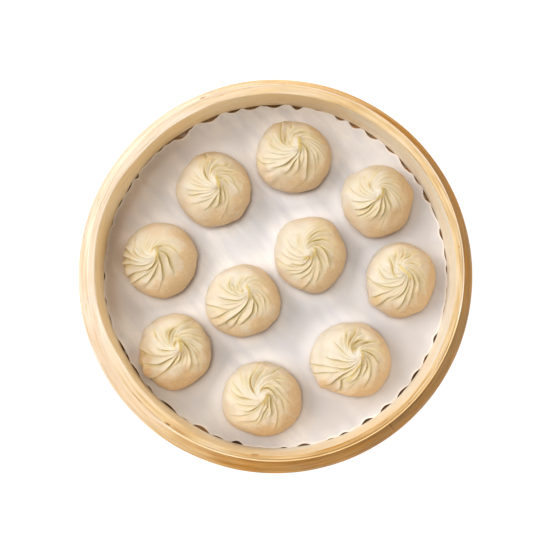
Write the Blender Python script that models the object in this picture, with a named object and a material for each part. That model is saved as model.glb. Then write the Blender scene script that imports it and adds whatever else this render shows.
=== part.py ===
"""Ten xiaolongbao on a scalloped paper liner, in one tier of a round bamboo steamer.

Blender 4.5. The origin is the centre of the tier's footprint on the surface it stands on, +Z is up,
+X is the tier's right and +Y its far side. Sizes below are in millimetres and degrees; the meshes are
made in metres.
"""

import math
import random

import bmesh
import bpy

MM = 0.001

# Tier: two bent hoops, an outer one that makes the shoulder and an inner one that stands up as the lip.
TIER_RADIUS = 127.0
LIP_TOP = 62.0
LIP_RISE = 10.0
SHOULDER_TOP = LIP_TOP - LIP_RISE
GAP = 0.3

# The lip holds the tier above, so this tier's own base leaves the same height free inside its hoop.
RECESS_TOP = LIP_RISE + 0.6

# Outer hoop: a thick board whose two ends butt, wrapped in a thin strip of bamboo skin.
WRAP_THICKNESS = 1.3
WRAP_DROP = 0.5
BUTT_ANGLE = 307.5
BUTT_GAP = 0.6

# Lip: the inner board and a thin strip round it, both a little off the hoop's centre.
LIP_RADIUS = 120.1
LIP_SHIFT = (0.2, 1.8)
STRIP_THICKNESS = 1.0
STRIP_DROP = 0.4
WALL_RADIUS = 115.0
WALL_SHIFT = (0.2, 0.7)

# The inner board's ends overlap in a splice that stands into the tier, and it bows out beside that.
SPLICE_STEP_LIP = 3.1
SPLICE_STEP_FLOOR = 1.9
SPLICE_SPAN = (184.0, 214.0, 230.0, 257.0)
BOW_STEP = 1.3
BOW_SPAN = (140.0, 154.0, 160.0, 184.0)

# Floor: slats across two layers of support, a ring inside the hoop and three bars under the slats.
SUPPORT_HEIGHT = 4.4
RING_INNER_RADIUS = 112.0
BAR_WIDTH = 12.0
BAR_SPACING = 62.0
BAR_COUNT = 3
SLAT_COUNT = 11
SLAT_WIDTH = 18.0
SLAT_PITCH = 21.0
SLAT_THICKNESS = 3.0
SLAT_RADIUS = 118.5
SLAT_END_STEPS = 3
SLAT_BOTTOM = RECESS_TOP + SUPPORT_HEIGHT + GAP
FLOOR_TOP = SLAT_BOTTOM + SLAT_THICKNESS
WALL_BOTTOM = FLOOR_TOP + GAP

# Liner: a round of paper with a scalloped edge that reaches the wall.
LINER_THICKNESS = 0.7
LINER_BOTTOM = FLOOR_TOP + GAP
SCALLOPS = 52
SCALLOP_DEPTH = (1.5, 2.9)
SCALLOP_JITTER = 0.16

# Dumplings stand on the liner. Each: centre, width along X and Y, height, where the knot leans to,
# number of pleats, and the angle of its first pleat.
DUMPLING_BASE = LINER_BOTTOM + LINER_THICKNESS + GAP
DUMPLINGS = (
    {"at": (-41.0, 58.0), "width": (50.0, 49.1), "height": 27.5, "knot": (2.7, 2.5), "pleats": 18, "turn": 10},
    {"at": (11.7, 79.6), "width": (50.0, 47.7), "height": 27.0, "knot": (2.4, 4.9), "pleats": 18, "turn": 30},
    {"at": (67.4, 50.5), "width": (47.7, 47.8), "height": 28.0, "knot": (-0.8, 3.8), "pleats": 17, "turn": 50},
    {"at": (-76.2, 10.9), "width": (48.7, 49.8), "height": 26.5, "knot": (-2.0, 3.4), "pleats": 18, "turn": 0},
    {"at": (22.9, 15.2), "width": (47.8, 50.0), "height": 27.5, "knot": (-1.7, 0.0), "pleats": 18, "turn": 15},
    {"at": (83.0, -2.2), "width": (46.3, 49.4), "height": 27.0, "knot": (0.4, 5.0), "pleats": 16, "turn": 5},
    {"at": (-22.1, -16.4), "width": (48.2, 47.7), "height": 27.5, "knot": (3.4, 5.8), "pleats": 17, "turn": 40},
    {"at": (-66.8, -50.0), "width": (47.8, 50.5), "height": 28.0, "knot": (3.7, 4.0), "pleats": 17, "turn": 20},
    {"at": (50.1, -55.6), "width": (53.1, 50.9), "height": 28.0, "knot": (3.1, 3.4), "pleats": 19, "turn": 25},
    {"at": (-9.5, -81.5), "width": (53.3, 50.0), "height": 27.5, "knot": (0.6, 3.5), "pleats": 19, "turn": 35},
)

# Profile of a dumpling from its flat foot to the rim of its knot, in rows of: radius and height as
# fractions of the whole, pleat depth in millimetres, and how far the row has leant towards the knot.
PROFILE = (
    (0.82, 0.00, 0.00, 0.00),
    (0.96, 0.12, 0.00, 0.02),
    (1.00, 0.30, 0.00, 0.08),
    (0.95, 0.52, 0.20, 0.22),
    (0.80, 0.71, 0.90, 0.45),
    (0.58, 0.84, 1.35, 0.70),
    (0.34, 0.91, 1.30, 0.90),
    (0.15, 0.94, 0.70, 1.00),
    (0.08, 0.99, 0.30, 1.00),
)
PLEAT_SWEEP = 62.0
PLEAT_JITTER = 0.22
OUTLINE_JITTER = 0.010

HOOP_STEPS = 60
WALL_STEPS = 72


def shifted_circle(angle, radius, shift):
    """Distance from the tier's axis, at an angle, to a circle whose centre is shifted off the axis."""
    along = shift[0] * math.cos(angle) + shift[1] * math.sin(angle)
    across = shift[1] * math.cos(angle) - shift[0] * math.sin(angle)
    return along + math.sqrt(radius**2 - across**2)


def smooth(value):
    value = min(max(value, 0.0), 1.0)
    return value * value * (3.0 - 2.0 * value)


def plateau(angle, span):
    """1 between the two middle angles of a span in degrees, falling smoothly to 0 at its two ends."""
    degrees = math.degrees(angle) % 360.0
    start, full, fade, end = span
    return smooth((degrees - start) / (full - start)) * smooth((end - degrees) / (end - fade))


def wall_face(angle, level):
    """Radius of the wall's inner face; level goes from 0 at the floor to 1 at the lip's top."""
    splice = SPLICE_STEP_FLOOR + (SPLICE_STEP_LIP - SPLICE_STEP_FLOOR) * level
    inward = splice * plateau(angle, SPLICE_SPAN)
    outward = BOW_STEP * level * plateau(angle, BOW_SPAN)
    return shifted_circle(angle, WALL_RADIUS, WALL_SHIFT) - inward + outward


def strip_inner_face(angle):
    return shifted_circle(angle, LIP_RADIUS - STRIP_THICKNESS, LIP_SHIFT)


def material(name, colour, roughness):
    mat = bpy.data.materials.new(name)
    mat.use_nodes = True
    shader = mat.node_tree.nodes["Principled BSDF"]
    shader.inputs["Base Color"].default_value = (*colour, 1.0)
    shader.inputs["Roughness"].default_value = roughness
    shader.inputs["Metallic"].default_value = 0.0
    return mat


def add_object(name, shape, mat, parent, location=(0.0, 0.0, 0.0)):
    """Turn a bmesh in millimetres into an object in metres with outward faces."""
    bmesh.ops.recalc_face_normals(shape, faces=shape.faces)
    bmesh.ops.scale(shape, vec=(MM, MM, MM), verts=shape.verts)
    mesh = bpy.data.meshes.new(name)
    shape.to_mesh(mesh)
    shape.free()
    mesh.materials.append(mat)
    mesh.shade_smooth()
    mesh.set_sharp_from_angle(angle=math.radians(35.0))
    obj = bpy.data.objects.new(name, mesh)
    obj.location = [MM * c for c in location]
    obj.parent = parent
    bpy.context.scene.collection.objects.link(obj)
    return obj


def polar(angle, radius, height):
    return (radius * math.cos(angle), radius * math.sin(angle), height)


def join_rows(shape, rows, wrap):
    """Make quads between neighbouring rows of vertices, each row a closed loop or an open one."""
    count = len(rows[0])
    for low, high in zip(rows, rows[1:]):
        for k in range(count if wrap else count - 1):
            nxt = (k + 1) % count
            shape.faces.new((low[k], low[nxt], high[nxt], high[k]))


def hoop(steps, inner, outer, height, butt=None):
    """A bent board standing on z = 0, with faces at radii inner(angle, level) and outer(angle).

    With butt, an angle in degrees, the board's two ends face each other there across a narrow gap.
    """
    angles = [math.tau * k / steps for k in range(steps)]
    if butt is not None:
        half_gap = 0.5 * BUTT_GAP / TIER_RADIUS
        start = math.radians(butt) + half_gap
        between = sorted((a - start) % math.tau for a in angles)
        span = math.tau - 2.0 * half_gap
        angles = [start, *(start + a for a in between if 0.0 < a < span), start + span]
    shape = bmesh.new()
    sections = []
    for angle in angles:
        corners = (
            polar(angle, inner(angle, 0.0), 0.0),
            polar(angle, outer(angle), 0.0),
            polar(angle, outer(angle), height),
            polar(angle, inner(angle, 1.0), height),
        )
        sections.append([shape.verts.new(c) for c in corners])
    if butt is None:
        sections.append(sections[0])
    else:
        shape.faces.new(sections[0])
        shape.faces.new(sections[-1])
    join_rows(shape, sections, wrap=True)
    return shape


def build_hoops(bamboo, skin, parent):
    """Shoulder and lip, from the outside in: skin wrap, outer board, lip strip, inner board."""
    board_radius = TIER_RADIUS - WRAP_THICKNESS - GAP

    def wrap_inner(angle, level):
        return TIER_RADIUS - WRAP_THICKNESS

    def wrap_outer(angle):
        return TIER_RADIUS

    def board_inner(angle, level):
        return shifted_circle(angle, LIP_RADIUS + GAP, LIP_SHIFT)

    def board_outer(angle):
        return board_radius

    def strip_inner(angle, level):
        return strip_inner_face(angle)

    def strip_outer(angle):
        return shifted_circle(angle, LIP_RADIUS, LIP_SHIFT)

    def inner_board_outer(angle):
        return strip_inner_face(angle) - GAP

    wrap = hoop(HOOP_STEPS, wrap_inner, wrap_outer, SHOULDER_TOP - 2.0 * WRAP_DROP)
    add_object("outer_wrap", wrap, skin, parent, (0.0, 0.0, WRAP_DROP))
    board = hoop(HOOP_STEPS, board_inner, board_outer, SHOULDER_TOP, butt=BUTT_ANGLE)
    add_object("outer_hoop", board, bamboo, parent)
    strip = hoop(HOOP_STEPS, strip_inner, strip_outer, LIP_TOP - STRIP_DROP - WALL_BOTTOM)
    add_object("lip_strip", strip, bamboo, parent, (0.0, 0.0, WALL_BOTTOM))
    inner = hoop(WALL_STEPS, wall_face, inner_board_outer, LIP_TOP - WALL_BOTTOM)
    add_object("inner_hoop", inner, bamboo, parent, (0.0, 0.0, WALL_BOTTOM))


def extruded(outline, height):
    """A flat plate of the given outline, standing on z = 0."""
    shape = bmesh.new()
    bottom = shape.faces.new([shape.verts.new((x, y, 0.0)) for x, y in outline])
    raised = bmesh.ops.extrude_face_region(shape, geom=[bottom])
    top = [g for g in raised["geom"] if isinstance(g, bmesh.types.BMVert)]
    bmesh.ops.translate(shape, vec=(0.0, 0.0, height), verts=top)
    return shape


def half_chord(radius, offset):
    return math.sqrt(radius**2 - offset**2)


def slat_outline(low, high):
    """A slat between two offsets from the floor's centre line, with ends that follow the wall."""
    offsets = [low + (high - low) * k / SLAT_END_STEPS for k in range(SLAT_END_STEPS + 1)]
    right = [(half_chord(SLAT_RADIUS, y), y) for y in offsets]
    left = [(-x, y) for x, y in reversed(right)]
    return right + left


def build_floor(bamboo, parent):
    def ring_inner(angle, level):
        return shifted_circle(angle, RING_INNER_RADIUS, LIP_SHIFT)

    def ring_outer(angle):
        return shifted_circle(angle, LIP_RADIUS, LIP_SHIFT)

    ring = hoop(HOOP_STEPS, ring_inner, ring_outer, SUPPORT_HEIGHT)
    add_object("floor_ring", ring, bamboo, parent, (0.0, 0.0, RECESS_TOP))
    for k in range(BAR_COUNT):
        x = (k - 0.5 * (BAR_COUNT - 1)) * BAR_SPACING
        reach = half_chord(RING_INNER_RADIUS, abs(x) + 0.5 * BAR_WIDTH) - 2.0 * GAP
        half = 0.5 * BAR_WIDTH
        bar = extruded([(-half, -reach), (half, -reach), (half, reach), (-half, reach)], SUPPORT_HEIGHT)
        place = (LIP_SHIFT[0] + x, LIP_SHIFT[1], RECESS_TOP)
        add_object(f"floor_bar_{k + 1}", bar, bamboo, parent, place)
    for k in range(SLAT_COUNT):
        middle = (k - 0.5 * (SLAT_COUNT - 1)) * SLAT_PITCH
        outline = slat_outline(middle - 0.5 * SLAT_WIDTH, middle + 0.5 * SLAT_WIDTH)
        slat = extruded(outline, SLAT_THICKNESS)
        add_object(f"floor_slat_{k + 1:02d}", slat, bamboo, parent, (*LIP_SHIFT, SLAT_BOTTOM))


def build_liner(paper, parent):
    """Scallops are rounded lobes that reach the wall, between notches of uneven depth."""
    rng = random.Random(11)
    outline = []
    pitch = math.tau / SCALLOPS
    for lobe in range(SCALLOPS):
        notch = (lobe + rng.uniform(-SCALLOP_JITTER, SCALLOP_JITTER)) * pitch
        depth = rng.uniform(*SCALLOP_DEPTH)
        for angle, inset in ((notch, depth), (notch + 0.3 * pitch, 0.0), (notch + 0.7 * pitch, 0.0)):
            radius = wall_face(angle, 0.0) - 2.0 * GAP - inset
            outline.append(polar(angle, radius, 0.0)[:2])
    sheet = extruded(outline, LINER_THICKNESS)
    add_object("paper_liner", sheet, paper, parent, (0.0, 0.0, LINER_BOTTOM))


def pleat_angles(pleats, rng):
    """Angles of crests and creases in turn, unevenly spaced, as fingers pinch them."""
    widths = [1.0 + rng.uniform(-PLEAT_JITTER, PLEAT_JITTER) for _ in range(2 * pleats)]
    scale = math.tau / sum(widths)
    angles = [0.0]
    for width in widths[:-1]:
        angles.append(angles[-1] + width * scale)
    return angles


def dumpling(spec, rng):
    """A pinched bag of dough: a smooth round skirt, and pleats that swirl in to a raised knot.

    Seen from above, a pleat turns clockwise on its way out from the knot.
    """
    half_x, half_y = (0.5 * w for w in spec["width"])
    knot_x, knot_y = spec["knot"]
    angles = pleat_angles(spec["pleats"], rng)
    depths = [1.0 + rng.uniform(-0.3, 0.3) for _ in angles]
    lobe_turn = rng.uniform(0.0, math.tau)
    shape = bmesh.new()
    rows = []
    for radius, rise, depth, lean in PROFILE:
        turn = math.radians(spec["turn"] + PLEAT_SWEEP * (1.0 - radius) ** 0.8)
        row = []
        for k, base_angle in enumerate(angles):
            angle = base_angle + turn
            crest = depth * depths[k] * (1.0 if k % 2 == 0 else -1.0)
            uneven = 1.0 + OUTLINE_JITTER * math.cos(3.0 * angle + lobe_turn)
            x = (half_x * radius * uneven + crest * radius) * math.cos(angle) + knot_x * lean
            y = (half_y * radius * uneven + crest * radius) * math.sin(angle) + knot_y * lean
            z = spec["height"] * rise + crest * (1.0 - radius)
            row.append(shape.verts.new((x, y, z)))
        rows.append(row)
    join_rows(shape, rows, wrap=True)
    shape.faces.new(rows[0])
    tip = shape.verts.new((knot_x, knot_y, spec["height"]))
    top = rows[-1]
    for k, vert in enumerate(top):
        shape.faces.new((vert, top[(k + 1) % len(top)], tip))
    return shape


def build_dumplings(dough, parent):
    for number, spec in enumerate(DUMPLINGS, start=1):
        shape = dumpling(spec, random.Random(number))
        add_object(f"dumpling_{number:02d}", shape, dough, parent, (*spec["at"], DUMPLING_BASE))


def main():
    for obj in list(bpy.data.objects):
        bpy.data.objects.remove(obj, do_unlink=True)
    tier = bpy.data.objects.new("steamer_tier", None)
    bpy.context.scene.collection.objects.link(tier)
    bamboo = material("bamboo", (0.80, 0.60, 0.36), 0.55)
    skin = material("bamboo_skin", (0.72, 0.48, 0.22), 0.45)
    paper = material("paper", (0.78, 0.73, 0.70), 0.85)
    dough = material("steamed_dough", (0.82, 0.70, 0.52), 0.45)
    build_hoops(bamboo, skin, tier)
    build_floor(bamboo, tier)
    build_liner(paper, tier)
    build_dumplings(dough, tier)


main()
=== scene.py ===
"""Looks for ten xiaolongbao on a scalloped paper liner, in one tier of a round bamboo steamer.

Lengths are in millimetres and angles in degrees, counterclockwise from +X, unless a name says
otherwise. The meshes are made in metres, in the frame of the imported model.
"""

import math

import bpy
import numpy as np
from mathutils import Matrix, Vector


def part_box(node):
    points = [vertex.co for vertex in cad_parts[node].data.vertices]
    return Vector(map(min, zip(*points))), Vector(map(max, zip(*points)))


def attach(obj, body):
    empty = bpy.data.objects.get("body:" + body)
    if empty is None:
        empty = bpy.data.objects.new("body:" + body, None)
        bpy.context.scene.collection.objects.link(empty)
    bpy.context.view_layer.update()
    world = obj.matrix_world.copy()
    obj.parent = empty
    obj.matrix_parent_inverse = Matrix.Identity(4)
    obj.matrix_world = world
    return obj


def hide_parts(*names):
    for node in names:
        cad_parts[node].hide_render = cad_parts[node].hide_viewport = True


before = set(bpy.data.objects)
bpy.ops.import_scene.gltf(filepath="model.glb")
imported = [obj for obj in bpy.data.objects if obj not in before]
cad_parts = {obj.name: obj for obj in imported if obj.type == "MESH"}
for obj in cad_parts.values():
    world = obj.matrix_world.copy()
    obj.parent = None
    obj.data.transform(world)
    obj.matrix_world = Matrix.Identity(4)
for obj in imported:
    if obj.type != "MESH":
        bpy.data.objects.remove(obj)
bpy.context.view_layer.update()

MM = 0.001
BODY = "root"


def node_box(name):
    """Lowest and highest corner of a CAD node."""
    return [np.array(corner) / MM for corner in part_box(name)]


# Tier, as the CAD has it: radii, heights, and how far the lip's middle lies off the tier's axis.
TIER_RADIUS = node_box("outer_wrap")[1][0]
WRAP_BOTTOM = node_box("outer_wrap")[0][2]
WRAP_TOP = node_box("outer_wrap")[1][2]
BOARD_RADIUS = node_box("outer_hoop")[1][0]
SHOULDER_TOP = node_box("outer_hoop")[1][2]
WALL_BOTTOM = node_box("inner_hoop")[0][2]
LIP_TOP = node_box("inner_hoop")[1][2]
STRIP_BOX = node_box("lip_strip")
LIP_RADIUS = 0.5 * (STRIP_BOX[1][0] - STRIP_BOX[0][0])
LIP_SHIFT = tuple(0.5 * (STRIP_BOX[0] + STRIP_BOX[1])[:2])
RING_BOX = node_box("floor_ring")
RING_INNER_RADIUS = 112.0
STRIP_THICKNESS = 1.0
WALL_RADIUS = 115.0
WALL_SHIFT = (0.2, 0.7)
HOOP_COLUMNS = 540

# Joints: where the outer board butts, and the joint beside the lip, which is open at the front, where the
# strip also lies lower. Boards that are pressed shut overlap a little. Relief keeps inside the CAD's faces.
BUTT_ANGLE = 307.5
BUTT_GAP = 0.3
JOINT_GAP = 0.15
JOINT_SPAN = (222.0, 240.0, 330.0, 402.0)
STRIP_DROP = 0.3
PRESSED = 0.2
RELIEF_ROOM = 0.05

# Splice of the inner board, which stands into the tier, and the bow beside it: the step at the floor and
# at the lip, and the angles where it starts, is full, starts to fade and ends.
SPLICE_STEP = (1.9, 3.1)
SPLICE_SPAN = (184.0, 214.0, 230.0, 257.0)
BOW_STEP = (0.0, 1.3)
BOW_SPAN = (140.0, 154.0, 160.0, 184.0)

# Marks on the wood: an angle, half a length in degrees, a radius, half a width, and how dark.
LIP_MARKS = (
    (221.5, 2.3, 117.3, 0.35, 0.45), (234.2, 0.8, 116.5, 0.45, 0.9), (238.5, 2.0, 116.3, 0.35, 0.6),
    (263.5, 1.2, 114.6, 0.5, 0.55), (306.0, 1.8, 115.6, 0.3, 0.5), (321.5, 6.0, 115.9, 0.3, 0.35),
    (316.2, 0.25, 117.6, 0.5, 0.8), (8.8, 0.2, 118.0, 0.4, 0.5),
)
SHOULDER_MARKS = (
    (87.3, 0.2, 123.9, 0.5, 0.8), (88.4, 0.2, 123.9, 0.5, 0.7), (112.3, 0.8, 124.2, 0.35, 0.5),
    (157.0, 0.2, 124.4, 0.4, 0.5), (307.3, 0.35, 123.6, 1.2, 0.6),
)

# Floor: slats lie across the tier out to a circle, in from which their ends get painted shade, where they
# show through the liner's notches. A slat's knuckle is a ridge across it, at a random place about the
# middle.
SLATS = 11
BARS = 3
SLAT_REACH = 118.3
END_SHADE_RADIUS = 108.5
KNUCKLE_REACH = 70.0
KNUCKLE_HEIGHT = 0.14
PLANK_ROWS = 42
PLANK_COLUMNS = 28
PLANK_ROUNDNESS = 1.0 / 3.0

# Liner: a round of paper whose scalloped edge curls up the wall. Its underside is flat, a clearance below
# its level, and has every twelfth ring of the flat top. A notch is its angle, its width in degrees and its
# depth.
LINER_LEVEL = node_box("paper_liner")[1][2]
LINER_THICKNESS = 0.35
LINER_CLEARANCE = 0.65
CURL_WIDTH = 8.0
NOTCHES = (
    (2.5, 2.8, 0.9), (7.5, 4.0, 1.0), (14.5, 3.6, 1.6), (22, 5.0, 0.9), (28, 4.2, 2.2), (34.3, 3.4, 1.2),
    (40.5, 5.8, 2.0), (48, 4.0, 1.5), (56, 4.4, 2.1), (62.5, 3.8, 2.3), (68, 3.4, 1.7), (76, 2.6, 0.5),
    (82.8, 3.2, 2.5), (90.4, 4.8, 2.1), (93.6, 1.4, 0.6), (98, 4.6, 1.8), (104, 4.0, 1.8),
    (112.5, 5.8, 2.4), (119.6, 2.2, 1.3), (123.3, 5.8, 3.3), (128.2, 3.2, 0.9), (132.2, 2.6, 0.8),
    (137.6, 4.6, 0.7), (144.1, 1.8, 1.9), (148.5, 3.8, 1.0), (154.5, 3.4, 0.8), (162, 1.6, 0.9),
    (170.5, 2.4, 0.5), (173.5, 2.0, 0.5), (179.8, 2.4, 1.0), (188, 2.2, 0.7), (194.5, 4.2, 0.8),
    (206, 7.4, 1.6), (213.8, 5.4, 1.2), (221.3, 3.4, 1.0), (230.5, 6.4, 1.4), (237.5, 2.4, 0.6),
    (244, 5.2, 2.2), (250.3, 3.4, 0.9), (257, 3.4, 2.0), (265, 2.4, 0.4), (272.8, 2.0, 0.8),
    (279.5, 3.8, 1.6), (288.8, 2.4, 0.7), (293.6, 2.9, 1.1), (302.4, 3.6, 1.9), (310, 3.8, 1.7),
    (317.8, 4.4, 1.4), (324.9, 4.4, 1.8), (331.5, 3.4, 1.3), (339, 3.0, 1.5), (349, 2.6, 0.4),
    (355.6, 2.4, 0.5),
)
LINER_COLUMNS = 600
FLAT_RINGS = 72
CURL_RINGS = 12
UNDER_STEP = 12
GRAIN_SLANT = -48.0

# Patches of the paper, each a place and how far it spreads: painted light, and one painted shadow.
PAINTED_LIGHT_PATCHES = (
    ((-40.0, 20.0), 18.0), ((45.0, 86.0), 18.0), ((-96.0, -38.0), 14.0), ((12.0, -102.0), 12.0),
)
PAINTED_SHADOW_PATCH = ((-106.0, 14.0), 17.0)

# Camera: almost straight above the tier, and a little in front of it.
CAMERA_AIM = (-0.26, 0.2, SHOULDER_TOP)
CAMERA_DISTANCE = 752.0
CAMERA_TILT = 2.0
CAMERA_LENS = 76.45
CAMERA_SENSOR = 36.0

# Soft lights: name, strength, how wide the source is, its elevation and heading in degrees, colour.
LIGHTS = (
    ("key_light", 2.15, 45.0, 42.0, 165.0, (0.99, 0.99, 1.0)),
    ("top_light", 0.85, 30.0, 86.0, 152.0, (1.0, 0.99, 0.97)),
    ("back_light", 0.9, 40.0, 27.0, 75.0, (1.0, 0.95, 0.86)),
    ("fill_light", 0.7, 40.0, 20.0, 330.0, (1.0, 0.88, 0.68)),
)
STUDIO_REACH = 3000.0

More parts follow.
